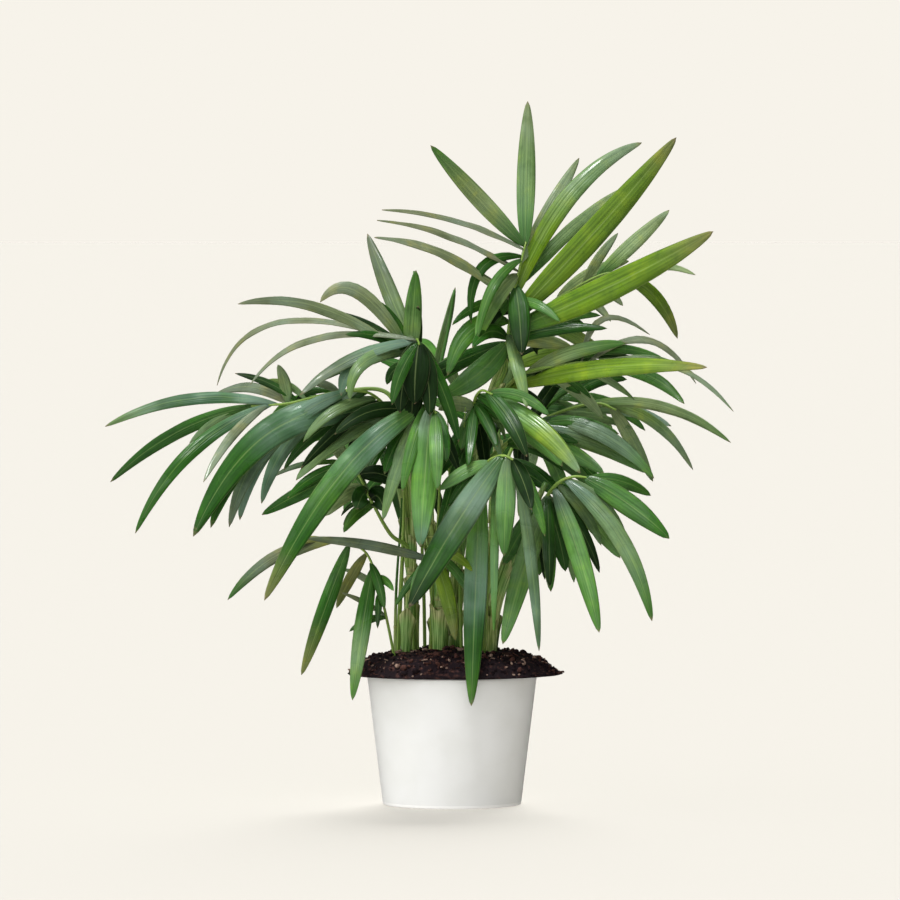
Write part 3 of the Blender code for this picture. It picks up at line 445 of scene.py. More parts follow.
def leaf_material(look, name, underside):
    """Living palm leaf, a waxy skin over soft green tissue: streaked along its
    parallel veins, paler at the midrib, with a broad soft shine from the wax on
    its upper side, patches of painted blue-grey sheen and a duller, greyer underside."""
    mat, node = new_material(name)
    layer = node("ShaderNodeAttribute", attribute_name="leaf_tone")
    place = node("ShaderNodeTexCoord").outputs["Object"]
    uv = node("ShaderNodeUVMap", uv_map="UVMap")
    across, along_leaf = node("ShaderNodeSeparateXYZ", {0: uv}).outputs[:2]
    centred = node(MATH, {0: across, 1: 0.5}, operation="SUBTRACT")
    aside = node(MATH, {0: centred}, operation="ABSOLUTE")
    # Veins about 3 mm apart on a wide blade, four times as coarse as real ones, so that they show
    turns = node(MATH, {0: aside, 1: look.vein_count * math.tau}, operation="MULTIPLY")
    veins = node(MATH, {0: turns}, operation="SINE")
    drawn = node("ShaderNodeMapping", {"Vector": uv, "Scale": (13.0, 4.0, 1.0)})
    shifted = node("ShaderNodeVectorMath", {0: drawn, 1: place}, operation="ADD")
    streak = node(NOISE, {"Vector": shifted, "Scale": 1.0, "Detail": 3.0})
    # Blotches of 16 mm and 42 mm, and specks of 2.2 mm
    patch, cloud, speck = (
        node(NOISE, {"Vector": place, "Scale": 1 / (size * MM), "Detail": detail})
        for size, detail in ((16, 3.0), (42, 2.0), (2.2, 2.0))
    )
    tone = layer.outputs["Color"]
    dark = node(MIX, {0: 1.0, 6: tone, 7: (0.58, 0.64, 0.48, 1.0)}, **MULTIPLIED)
    light = node(MIX, {0: 1.0, 6: tone, 7: (1.42, 1.32, 1.14, 1.0)}, **MULTIPLIED)
    streaked = blend(node, streak, 0.3, 0.7, dark, light, 0.15, 0.85)
    veined = blend(node, veins, -1.0, 1.0, streaked, dark, last=0.14)
    shaded = node(MIX, {0: 1.0, 6: veined, 7: (0.62, 0.70, 0.50, 1.0)}, **MULTIPLIED)
    deepened = blend(node, patch, 0.46, 0.28, veined, shaded, last=0.85)
    yellow = node(MIX, {0: 1.0, 6: veined, 7: (1.75, 1.40, 0.60, 1.0)}, **MULTIPLIED)
    patched = blend(node, patch, 0.5, 0.76, deepened, yellow, last=0.6)
    # Painted sheen: pale blue-grey patches, as the wax would mirror the sky, as strong as each green's share
    sheen_patches = node(RANGE, {0: cloud, 1: 0.38, 2: 0.66, 3: 0.1}, **SMOOTH)
    sheen_share = node(MATH, {0: layer.outputs["Alpha"], 1: sheen_patches}, operation="MULTIPLY")
    with_painted_sheen = node(MIX, {0: sheen_share, 6: patched, 7: "#9AB3A6"}, **MIXED)
    ribbed = blend(node, aside, 0.008, 0.035, with_painted_sheen, "#8A9E60", 0.3, 0.0)
    edged = blend(node, aside, 0.455, 0.5, ribbed, "#8C9A6A", last=0.35)
    tip_start = node(RANGE, {0: speck, 1: 0.3, 2: 0.7, 3: 0.93, 4: 0.985}, **SMOOTH)
    tip = node(RANGE, {0: along_leaf, 1: tip_start, 2: 1.0, 4: 0.85})
    skin = node(MIX, {0: tip, 6: edged, 7: "#7A6A4E"}, **MIXED)
    if underside:
        skin = node(MIX, {0: 0.30, 6: skin, 7: "#86A06C"}, **MIXED)
    low, high = (0.42, 0.62) if underside else (look.gloss_low, look.gloss_high)
    waxed = node(RANGE, {0: cloud, 1: 0.60, 2: 0.44, 3: low, 4: high}, **SMOOTH)
    # Leaves with no painted sheen, the darkest greens, are rougher and duller
    worn = node(RANGE, {0: layer.outputs["Alpha"], 1: 0.0, 2: 0.03, 3: 0.3, 4: 0.0})
    rough = node(MATH, {0: waxed, 1: worn}, operation="ADD")
    # The lines run together towards the tip, so they fade there
    near_tip = node(RANGE, {0: along_leaf, 1: 0.45, 2: 0.85, 3: 1.0, 4: 0.0}, **SMOOTH)
    faint = node(MATH, {0: veins, 1: 0.3, 2: streak}, operation="MULTIPLY_ADD")
    height = node(MATH, {0: faint, 1: near_tip, 2: patch}, operation="MULTIPLY_ADD")
    links = {"Base Color": skin, "Roughness": rough, "IOR": WAX_IOR}
    links["Specular IOR Level"] = 0.25 if underside else look.shine
    finish_material(node, links, height, 0.5, 0.5)
    return mat


def stalk_material(name):
    """Green frond stalk, a smooth fibrous skin: olive with fine lengthwise lines
    and paler, drier patches."""
    mat, node = new_material(name)
    place = node("ShaderNodeTexCoord").outputs["Object"]
    uv = node("ShaderNodeUVMap", uv_map="UVMap")
    lines = node("ShaderNodeMapping", {"Vector": uv, "Scale": (22.0, 2.0, 1.0)})
    line = node(NOISE, {"Vector": lines, "Scale": 1.0, "Detail": 4.0})
    patch = node(NOISE, {"Vector": place, "Scale": 1 / (12 * MM), "Detail": 3.0})
    green = blend(node, line, 0.3, 0.7, "#4A6C22", "#9ABA58")
    skin = blend(node, patch, 0.55, 0.8, green, "#8F8A4A", last=0.6)
    finish_material(node, {"Base Color": skin, "Roughness": 0.42, "IOR": WAX_IOR}, line, 0.4, 0.25)
    return mat


def sheath_material(name, dried):
    """Leaf sheath, drying fibre wrapped round the cane: olive with lengthwise
    fibres, turning papery and tan along its two open edges."""
    mat, node = new_material(name)
    place = node("ShaderNodeTexCoord").outputs["Object"]
    uv = node("ShaderNodeUVMap", uv_map="UVMap")
    upward = node("ShaderNodeSeparateXYZ", {0: uv}).outputs[1]
    lines = node("ShaderNodeMapping", {"Vector": uv, "Scale": (34.0, 1.4, 1.0)})
    shifted = node("ShaderNodeVectorMath", {0: lines, 1: place}, operation="ADD")
    fibre = node(NOISE, {"Vector": shifted, "Scale": 1.0, "Detail": 5.0})
    patch = node(NOISE, {"Vector": place, "Scale": 1 / (9 * MM), "Detail": 3.0})
    cloud = node(NOISE, {"Vector": place, "Scale": 1 / (40 * MM), "Detail": 2.0})
    centred = node(MATH, {0: upward, 1: 0.5}, operation="SUBTRACT")
    aside = node(MATH, {0: centred}, operation="ABSOLUTE")
    spread = node(MATH, {0: aside, 1: 2.0, 2: dried}, operation="MULTIPLY_ADD")
    ragged = node(MATH, {0: patch, 1: 0.7, 2: spread}, operation="MULTIPLY_ADD")
    low = blend(node, cloud, 0.4, 0.6, "#5E7C2A", "#3C6A1B")
    high = blend(node, cloud, 0.4, 0.6, "#BAC87E", "#94BC6C")
    green = blend(node, fibre, 0.34, 0.66, low, high)
    papery = blend(node, fibre, 0.34, 0.66, "#636C30", "#C4C68C")
    skin = blend(node, ragged, 0.85, 1.45, green, papery)
    finish_material(node, {"Base Color": skin, "Roughness": 0.5, "IOR": WAX_IOR}, fibre, 0.6, 0.5)
    return mat


def cane_material(look):
    """Palm cane, a hard smooth green stem: olive with lengthwise lines, a tan
    scar at each ring with a dark groove over it, and greener near its top."""
    mat, node = new_material("Cane_Ringed_Olive")
    place = node("ShaderNodeTexCoord").outputs["Object"]
    ring = node("ShaderNodeAttribute", attribute_name="ring").outputs["Fac"]
    fresh = node("ShaderNodeAttribute", attribute_name="fresh").outputs["Fac"]
    # Lines about 1 mm apart across the cane and 22 mm long
    lines = node("ShaderNodeMapping", {"Vector": place, "Scale": (900.0, 900.0, 45.0)})
    line = node(NOISE, {"Vector": lines, "Scale": 1.0, "Detail": 4.0})
    patch = node(NOISE, {"Vector": place, "Scale": 1 / (18 * MM), "Detail": 3.0})
    olive = blend(node, line, 0.3, 0.7, look.cane_dark, look.cane_light)
    tanned = blend(node, patch, 0.45, 0.72, olive, "#8F9A58", last=0.6)
    green = node(MIX, {0: fresh, 6: tanned, 7: "#3F6A2C"}, **MIXED)
    scarred = blend(node, ring, 0.35, 1.0, green, "#A8996A", last=0.9)
    skin = blend(node, ring, -0.3, -1.0, scarred, "#3A2F1C", last=0.75)
    finish_material(node, {"Base Color": skin, "Roughness": 0.4, "IOR": WAX_IOR}, line, 0.35, 0.3)
    return mat


def glaze_material(look):
    """Glazed earthenware, a satin white glaze on a turned pot: an even warm
    white with a soft wide shine and the faintest orange-peel."""
    mat, node = new_material("Earthenware_Satin_White")
    place = node("ShaderNodeTexCoord").outputs["Object"]
    cloud = node(NOISE, {"Vector": place, "Scale": 1 / (35 * MM), "Detail": 3.0})
    grain = node(NOISE, {"Vector": place, "Scale": 1 / (1.6 * MM), "Detail": 2.0})
    even = blend(node, cloud, 0.35, 0.7, look.glaze, look.glaze_shade)
    # Painted highlights: a whiter band at the foot's edge and along the rim, where the light catches them
    rise = node("ShaderNodeSeparateXYZ", {0: place}).outputs[2]
    foot = node(RANGE, {0: rise, 1: 2.4 * MM, 2: 3.0 * MM, 3: 1.0, 4: 0.0}, **SMOOTH)
    brim = (POT_HEIGHT - 1.6) * MM
    rim = node(RANGE, {0: rise, 1: brim, 2: brim + 0.6 * MM}, **SMOOTH)
    # Either band takes the painted highlight
    thick = node(MATH, {0: foot, 1: rim}, operation="MAXIMUM")
    skin = node(MIX, {0: thick, 6: even, 7: "#FCFCFB"}, **MIXED)
    rough = node(RANGE, {0: grain, 1: 0.3, 2: 0.7, 3: 0.30, 4: 0.38}, **SMOOTH)
    links = {"Base Color": skin, "Roughness": rough, "IOR": 1.5, "Coat Weight": 0.25, "Coat Roughness": 0.18}
    finish_material(node, links, grain, 0.08, 0.15)
    return mat


def soil_material(look):
    """Moist potting mix, peat with bark and fibre: nearly black, matt, with
    red-brown fibre and a few pale crumbs."""
    mat, node = new_material("Potting_Mix_Moist")
    place = node("ShaderNodeTexCoord").outputs["Object"]
    tone = node("ShaderNodeAttribute", attribute_name="soil_tone").outputs["Color"]
    # Grains of 1.5 mm and clods of 5 mm
    grain, clod = (
        node(NOISE, {"Vector": place, "Scale": 1 / (size * MM), "Detail": detail, "Roughness": harsh})
        for size, detail, harsh in ((1.5, 4.0, 0.7), (5, 3.0, 0.6))
    )
    wet = node(MIX, {0: 1.0, 6: tone, 7: (0.35, 0.33, 0.36, 1.0)}, **MULTIPLIED)
    mixed = blend(node, grain, 0.3, 0.66, wet, tone)
    skin = blend(node, clod, 0.52, 0.72, mixed, look.soil_fibre, last=0.8)
    rough = node(RANGE, {0: grain, 1: 0.3, 2: 0.7, 3: 0.75, 4: 0.98}, **SMOOTH)
    height = node(MATH, {0: grain, 1: clod}, operation="ADD")
    links = {"Base Color": skin, "Roughness": rough, "IOR": 1.4, "Specular IOR Level": 0.3}
    finish_material(node, links, height, 0.9, 1.0)
    return mat


def paper_material(rgb):
    """Seamless background paper, matt and warm white."""
    mat, node = new_material("Background_Paper_Warm_White")
    finish_material(node, {"Base Color": colour(rgb), "Roughness": 1.0, "Specular IOR Level": 0.0})
    return mat


def smooth_path(points, steps=STEPS):
    """Points on a soft curve through the given ones, steps to each span."""
    pts = [Vector(p) for p in points]
    pts = [2 * pts[0] - pts[1]] + pts + [2 * pts[-1] - pts[-2]]
    out = []
    for a, b, c, d in zip(pts, pts[1:], pts[2:], pts[3:]):
        for i in range(steps):
            t = i / steps
            curve = 2 * b + (c - a) * t + (2 * a - 5 * b + 4 * c - d) * t * t
            out.append(0.5 * (curve + (3 * b - a - 3 * c + d) * t**3))
    out.append(pts[-2])
    return out


# Each cane's path as the frame has it, with its radii at the foot and the top
CANE_LINES = {name: (smooth_path(points, 2), low, high) for name, (low, high, points) in CANES.items()}


def length_of(path):
    """The length of a path."""
    return sum((b - a).length for a, b in zip(path, path[1:]))


def along(path, share):
    """The point at a share of a path's length."""
    left = share * length_of(path)
    for a, b in zip(path, path[1:]):
        step = (b - a).length
        if left <= step:
            return a.lerp(b, left / step)
        left -= step
    return path[-1].copy()


def at_height(path, z):
    """The point where a rising path passes a height."""
    for a, b in zip(path, path[1:]):
        if a.z <= z <= b.z:
            return a.lerp(b, (z - a.z) / (b.z - a.z))
    return path[-1].copy() if z > path[-1].z else path[0].copy()


def steady_sides(path):
    """A sideways direction at each point of a path, carried along without twist."""
    last = len(path) - 1
    runs = [(path[min(i + 1, last)] - path[max(i - 1, 0)]).normalized() for i in range(last + 1)]
    side = runs[0].orthogonal().normalized()
    out = []
    for run in runs:
        side = (side - run * side.dot(run)).normalized()
        out.append((side.copy(), run.cross(side)))
    return out


def new_bmesh(tone=None):
    """An empty bmesh with a UV map, in millimetres, and a colour layer if one is named."""
    bm = bmesh.new()
    bm.loops.layers.uv.new("UVMap")
    if tone:
        bm.verts.layers.float_color.new(tone)
    return bm


def once(things):
    """Each thing once, in the order that they come, which a set wouldn't keep from run to run."""
    return list(dict.fromkeys(things))


def sheet(bm, columns, rows, place):
    """A grid of faces laid out by place(across, along), both 0 to 1. Returns its corners and faces."""
    made = bmesh.ops.create_grid(bm, x_segments=columns, y_segments=rows, size=1.0, calc_uvs=True)
    for vert in made["verts"]:
        vert.co = place((vert.co.x + 1.0) / 2.0, (vert.co.y + 1.0) / 2.0)
    return made["verts"], once(f for v in made["verts"] for f in v.link_faces)


def close_tube(bm, verts, faces):
    """Merges a rolled sheet's seam, closes its two ends and points it outwards."""
    bmesh.ops.remove_doubles(bm, verts=verts, dist=SEAM)
    faces = [f for f in faces if f.is_valid]
    open_edges = [e for e in once(e for f in faces for e in f.edges) if e.is_boundary]
    faces += bmesh.ops.holes_fill(bm, edges=open_edges, sides=0)["faces"]
    bmesh.ops.recalc_face_normals(bm, faces=faces)


def add_object(name, data):
    """Puts a mesh, a light or a camera in the scene."""
    thing = bpy.data.objects.new(name, data)
    bpy.context.scene.collection.objects.link(thing)
    return thing


def add_mesh(name, bm, materials):
    """Turns a bmesh, in metres, into an object."""
    mesh = bpy.data.meshes.new(name)
    bm.to_mesh(mesh)
    bm.free()
    for mat in materials:
        mesh.materials.append(mat)
    return add_object(name, mesh)


def make_piece(name, bm, materials, slot, *nodes):
    """Turns a bmesh, in millimetres, into a smooth-shaded piece, in place of the frame's named nodes."""
    bmesh.ops.scale(bm, vec=(MM, MM, MM), verts=bm.verts)
    piece = add_mesh(name, bm, materials)
    piece.data.shade_smooth()
    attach(piece, "root")
    if nodes:
        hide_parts(*nodes)
    return piece


def width_at(t, width):
    """A leaflet's width: narrow at the root, widest before the middle, pointed."""
    swell = max(0.0, math.sin(math.pi * t**0.85)) ** 0.55
    least = ROOT_WIDTH * (1.0 - t) + 0.35 * TIP_WIDTH * t
    return max(width * swell, least)


class Leaflet:
    """One blade: its bent middle line, and its width and face along it."""

    def __init__(self, rib, entry, rng):
        *numbers, self.tone = entry
        share, x, y, z, self.width, self.arch, self.turn = numbers[:7]
        self.root = along(rib, min(share, LAST_ROOT))
        self.tip = Vector((x, y, z))
        self.peak = numbers[7] if len(numbers) > 7 else 0.5
        self.twist = rng.uniform(-BLADE_TWIST, BLADE_TWIST)
        self.swing = 0.0

    def follow_frame(self, corners):
        """Takes over how far the frame's own leaflet was swung in depth, read at its tip."""
        x, y, z = self.tip
        near = [c.y for c in corners if abs(c.x - x) < TIP_REACH and abs(c.z - z) < TIP_REACH]
        if not near:
            raise ValueError(f"the frame has no leaf tip at {self.tip.to_tuple(1)}")
        self.swing = sum(near) / len(near) - y

    def middle(self, t):
        """A point of the middle line, and the direction it runs in."""
        chord = self.tip - self.root
        way = chord.normalized()
        rise = UP - way * UP.dot(way)
        if rise.length < 0.12:
            rise = VIEWER - way * VIEWER.dot(way)
        bend = self.root + chord * self.peak + rise.normalized() * 2.0 * self.arch
        bend.y += self.peak * self.swing
        tip = self.tip + Vector((0.0, self.swing, 0.0))
        place = self.root * (1 - t) ** 2 + bend * 2 * t * (1 - t) + tip * t * t
        run = (bend - self.root) * (1 - t) + (tip - bend) * t
        return place, run.normalized()

    def section(self, t):
        """The middle, the side direction and the upper face's direction."""
        place, run = self.middle(t)
        side = run.cross(VIEWER)
        if side.length < 0.05:
            side = run.cross(UP)
        side.normalize()
        face = side.cross(run)
        if face.dot(VIEWER) < 0:
            face.negate()
        lift = 1.0 if (Quaternion(run, 0.1) @ face).z > face.z else -1.0
        angle = math.radians(self.turn + self.twist * (t - 0.3)) * lift
        face = Quaternion(run, angle) @ face
        return place, run.cross(face).normalized(), face


def young_leaflets(rib, entries, rng):
    """Short dark leaflets between each two of the long ones, deep in the clump."""
    made = []
    ordered = sorted(entries, key=lambda e: e[0])
    for one, two in zip(ordered, ordered[1:]):
        # It leaves the rib a little before the middle between the two
        share = 0.5 * (one[0] + two[0]) - rng.uniform(0.04, 0.12)
        root = along(rib, share)
        if root.z > OPEN_ABOVE or share > OPEN_PAST:
            continue
        first, second = Vector(one[1:4]) - root, Vector(two[1:4]) - root
        way = first.normalized() + second.normalized() + Vector((0.0, rng.uniform(-0.3, 0.3), -0.1))
        # One that would lie flat between its neighbours or point at the viewer hangs instead
        if way.length < 0.4 or abs(way.normalized().y) > 0.8:
            way = Vector((rng.uniform(-1, 1), 0.4 * rng.uniform(-1, 1), -0.4))
        # A little over half as long as they are, and narrower
        long = max(26.0, 0.5 * (first.length + second.length) * rng.uniform(0.5, 0.72))
        tip = root + way.normalized() * long
        if tip.z > OPEN_ABOVE:
            continue
        width = min(0.32 * (one[4] + two[4]) * rng.uniform(0.85, 1.1), 0.16 * long)
        arch, turn = rng.uniform(3.0, 9.0), rng.uniform(0.0, 30.0)
        entry = (share, *tip, width, arch, turn, rng.choice(("d", "dk", "md", "k", "u")))
        made.append(Leaflet(rib, entry, rng))
    return made


class Frond:
    """A sheath round its cane, a rib, and leaflets along it, as in the frame."""

    def __init__(self, name, rng):
        self.name = name
        self.cane, self.height, points = FRONDS[name]
        knots = [(*points[0][:2], self.height)]
        self.thick = PETIOLE_FOOT_R
        if self.cane:
            self.thick = RIB_FOOT_R
            path, low, high = CANE_LINES[self.cane]
            share = (self.height - path[0].z) / (path[-1].z - path[0].z)
            self.grip = low + (high - low) * share
            self.out = Vector(points[0]) - at_height(path, self.height)
            self.out.z = 0.0
            self.out.normalize()
            # The rib leaves the sheath between 9 mm under its middle and 9 mm over it
            knots = [
                at_height(path, self.height - 9) + self.out * (self.grip + 1.3),
                at_height(path, self.height + 9) + self.out * (self.grip + 2.6),
            ]
        self.path = smooth_path(knots + points)
        rib = smooth_path(knots + points, 2)
        self.leaflets = [Leaflet(rib, entry, rng) for entry in LEAFLETS[name]]
        corners = [v.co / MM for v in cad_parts[name].data.vertices]
        for leaf in self.leaflets:
            leaf.follow_frame(corners)
        drawn = random.Random(name)
        self.leaflets += [Leaflet(rib, entry, drawn) for entry in INNER_LEAFLETS.get(name, [])]
        self.leaflets += young_leaflets(rib, LEAFLETS[name], drawn)


def leaf_blade(bm, leaf, look, rng):
    """One leaflet: a strap folded at its midrib, with rounded halves and a
    lightly waved edge, and a thickness on its underside."""
    long = (leaf.tip - leaf.root).length
    # A row of corners to each 6.5 mm, and more columns where the blade is wide
    rows = max(12, min(34, round(long / 6.5)))
    columns = 6 if leaf.width < 12 else 8 if leaf.width < 18 else 10
    # The edge's waves: how many, where the first starts and how deep they are
    waves = rng.uniform(2.0, 4.0)
    start = rng.uniform(0.0, math.tau)
    deep = rng.uniform(0.15, 0.5) * leaf.width / 20.0
    pleat = 0.012 * leaf.width

    def place(u, v):
        # The rows stand closer together near the root and the tip
        t = 0.6 * v + 0.4 * (0.5 - 0.5 * math.cos(math.pi * v))
        middle, side, face = leaf.section(t)
        across = 2.0 * u - 1.0
        half = width_at(t, leaf.width) / 2.0
        bow = math.sin(math.pi * abs(across))
        lift = half * (0.10 * bow - BLADE_FOLD * abs(across))
        ripple = deep * across * across * math.sin(start + waves * math.tau * t + 1.5 * across)
        # A ridge or a groove at each row of corners, which are the leaf's parallel pleats
        fold = pleat * math.cos(0.5 * columns * math.pi * across) * min(1.0, half / 4.0)
        buckle = 0.9 * noise.noise(Vector((long * t / 22.0, 1.2 * across, start))) * min(1.0, half / 5.0)
        return middle + side * (across * half) + face * (lift + ripple + fold + buckle)

    verts, faces = sheet(bm, columns, rows, place)
    upward = leaf.section(0.5)[2]
    for face in faces:
        face.normal_update()
    if sum(face.normal.dot(upward) for face in faces) < 0:
        bmesh.ops.reverse_faces(bm, faces=faces)
    before = set(bm.verts)
    bmesh.ops.solidify(bm, geom=faces, thickness=look.blade_thick / MM)
    under = set(bm.verts) - before
    for face in {f for v in under for f in v.link_faces}:
        if all(v in under for v in face.verts):
            face.material_index = 1
    # The greens go from one letter's to the next. Painted shade darkens the root, near the hub, and grows
    # towards the tip
    stops = [Vector((*srgb(text), sheen_share)) for text, sheen_share in (LEAF_TONES[code] for code in leaf.tone)]
    stops.append(stops[-1])
    strength = rng.uniform(0.9, 1.1)
    tip_shade = Vector((0.74, 0.84, 0.80)) * rng.uniform(0.85, 1.15)
    reach = leaf.tip - leaf.root
    layer = bm.verts.layers.float_color["leaf_tone"]
    for vert in under.union(verts):
        t = min(1.0, max(0.0, (vert.co - leaf.root).dot(reach) / reach.length_squared))
        at = t * (len(stops) - 2)
        ease = at % 1.0
        ease = ease * ease * (3.0 - 2.0 * ease)
        *tone, sheen_share = stops[int(at)].lerp(stops[int(at) + 1], ease)
        shade = min(1.0, max(0.0, 0.5 * t + 0.5 * noise.noise(Vector((4.0 * t, start, 0.0)))))
        # Each leaflet's own random strength, times painted shade over the first fifth from the root
        root_shade_and_tone = strength * (1.12 - 0.12 * t) * (0.62 + 0.38 * min(1.0, t / 0.22))
        vert[layer] = (*(root_shade_and_tone * c * (1.0 + (f - 1.0) * shade) for c, f in zip(tone, tip_shade)), sheen_share)


def tube(bm, path, radii, sides):
    """A closed round stem along a path."""
    turns = steady_sides(path)
    rows = len(path) - 1

    def place(u, v):
        i = round(v * rows)
        side, other = turns[i]
        angle = math.tau * u
        return path[i] + (side * math.cos(angle) + other * math.sin(angle)) * radii[i]

    close_tube(bm, *sheet(bm, sides, rows, place))


def sheath(bm, frond):
    """A leaf sheath round its cane: a thin sleeve, widest under its slanted mouth."""
    stalk = set(bm.faces)
    path = CANE_LINES[frond.cane][0]
    side = frond.out
    other = UP.cross(side)

    def place(u, v):
        angle = math.tau * u
        toward = 0.5 + 0.5 * math.cos(angle)
        z = frond.height - SHEATH_LENGTH / 2 + SHEATH_LENGTH * v
        z += 7.0 * toward * v**3 - 3.0 * (1 - toward) * v**3
        swell = GAP + 0.25 + (SHEATH_WALL - 0.2) * math.sin(math.pi * min(1.0, 0.15 + 0.7 * v))
        reach = frond.grip + swell + 0.9 * toward * v * v
        way = side * math.cos(angle) + other * math.sin(angle)
        return at_height(path, z) + way * reach

    verts, faces = sheet(bm, 20, 12, place)
    bmesh.ops.remove_doubles(bm, verts=verts, dist=SEAM)
    faces = [f for f in faces if f.is_valid]
    bmesh.ops.recalc_face_normals(bm, faces=faces)
    bmesh.ops.solidify(bm, geom=faces, thickness=SHEATH_THICK)
    for face in set(bm.faces) - stalk:
        face.material_index = 1


def build_frond(frond, look, mats):
    """The two pieces of a frond: its leaflets, and its stalk with the sheath."""
    rng = random.Random(frond.name)
    plain = frond.name.replace("Frond_", "")
    bm = new_bmesh("leaf_tone")
    for leaf in frond.leaflets:
        leaf_blade(bm, leaf, look, rng)
    make_piece(plain + "_Leaflets", bm, mats[:2], "leaf_green", frond.name)
    bm = new_bmesh()
    count = len(frond.path) - 1
    radii = [frond.thick + (RIB_TIP_R - frond.thick) * i / count for i in range(count + 1)]
    tube(bm, frond.path, radii, 12)
    if frond.cane:
        sheath(bm, frond)
    make_piece(plain + "_Stalk", bm, mats[2:], "leaf_green", frond.name)


def build_cane(name, look, mats):
    """A cane with a raised ring at each old leaf scar, and a groove over it."""
    low, high, points = CANES[name]
    path = smooth_path(points)
    total = length_of(path)
    rng = random.Random(name)
    # The green spear starts over the highest sheath
    spear_from = max([f[1] for f in FRONDS.values() if f[0] == name], default=150.0) + 16.0
    # The first ring stands near the soil's top, and they are farther apart higher up
    rings = []
    here = 66.0 + rng.uniform(2.0, 8.0)
    while here < total:
        if along(path, here / total).z < spear_from:
            rings.append(here)
        here += look.ring_gap / MM * (0.6 + 0.5 * here / total) * rng.uniform(0.85, 1.15)
    # Even steps up the cane, with finer ones over each ring
    stops = {i * total / 60 for i in range(61)}
    for ring in rings:
        stops |= {min(total, ring + step) for step in (-1.6, -0.8, -0.3, 0.2, 0.7, 1.4, 2.2)}
    stops = sorted(stops)
    stops = [a for a, b in zip(stops, stops[1:] + [total + 9.0]) if b - a > 0.15]
    line = [along(path, s / total).freeze() for s in stops]
    radii = []
    marks = {}
    for s, place in zip(stops, line):
        near = min((s - r for r in rings), key=abs, default=99.0)
        bulge = math.exp(-((near / 0.8) ** 2))
        groove = math.exp(-(((near - 1.4) / 0.5) ** 2))
        radii.append(low + (high - low) * s / total + RING_RISE * bulge - RING_GROOVE * groove)
        marks[place] = bulge - groove
    bm = new_bmesh()
    tube(bm, line, radii, CANE_SIDES)
    ring_layer = bm.verts.layers.float.new("ring")
    fresh_layer = bm.verts.layers.float.new("fresh")
    for vert in bm.verts:
        vert[ring_layer] = marks[min(marks, key=lambda p: (p - vert.co).length_squared)]
        vert[fresh_layer] = max(0.0, min(1.0, (vert.co.z - spear_from) / 20.0))
    make_piece(name + "_Ringed", bm, mats[:1], "cane_skin", name)
    if rings:
        old_sheaths(name, line, rings, spear_from, mats[1])


def old_sheaths(name, line, rings, stop, mat):
    """Papery sheaths of fallen fronds, each a sheet that clasps the cane above a ring, open on one side."""
    rng = random.Random(name + " sheaths")
    low, high, _ = CANES[name]
    held = [frond[1] for frond in FRONDS.values() if frond[0] == name]
    bm = new_bmesh()
    for ring in rings:
        foot = along(line, ring / length_of(line))
        # None stands where a living sheath holds the cane, or close under its spear
        if foot.z > stop - 50.0 or any(abs(foot.z + 14.0 - height) < 34.0 for height in held):
            continue
        long = rng.uniform(44.0, 72.0)
        wrap = math.radians(rng.uniform(220.0, 330.0))
        start = rng.uniform(0.0, math.tau)
        grip = low + (high - low) * (foot.z - CANE_FOOT) / (stop - CANE_FOOT) + 0.5
        ragged = rng.uniform(0.0, 9.0)

        def place(u, v):
            angle = start + wrap * (u - 0.5)
            lip = 1.0 - 0.28 * abs(2 * u - 1) + 0.10 * noise.noise(Vector((7.0 * u, ragged, 0.0)))
            z = foot.z + long * v * lip
            flare = grip + 2.4 * v + 1.6 * v**4 + 0.35 * math.sin(9.0 * angle + ragged) * v
            return at_height(line, z) + Vector((math.cos(angle), math.sin(angle), 0.0)) * flare

        faces = sheet(bm, 22, 8, place)[1]
        bmesh.ops.solidify(bm, geom=faces, thickness=OLD_SHEATH_THICK)
    if not bm.faces:
        bm.free()
        return
    bmesh.ops.recalc_face_normals(bm, faces=bm.faces)
    make_piece(name + "_Old_Sheaths", bm, [mat], "leaf_green")


def build_shoots(mat):
    """The young shoots: thin green stalks, each drawn out to a point."""
    bm = new_bmesh()
    for points, thick in SHOOTS:
        path = smooth_path(points)
        count = len(path) - 1
        radii = [SHOOT_TIP_R + (thick - SHOOT_TIP_R) * (1.0 - (i / count) ** 3) for i in range(count + 1)]
        tube(bm, path, radii, 8)
    make_piece("Young_Shoots", bm, [mat], "leaf_green")


def polar(reach, angle):
    """Across and along to a point at a distance from the pot's middle."""
    return reach * math.cos(angle), reach * math.sin(angle)


def arc(centre, radius, start, end, steps):
    """Points of an outline's round corner, from one angle to another in degrees."""
    out = []
    for i in range(steps + 1):
        angle = math.radians(start + (end - start) * i / steps)
        out.append((centre[0] + radius * math.cos(angle), centre[1] + radius * math.sin(angle)))
    return out


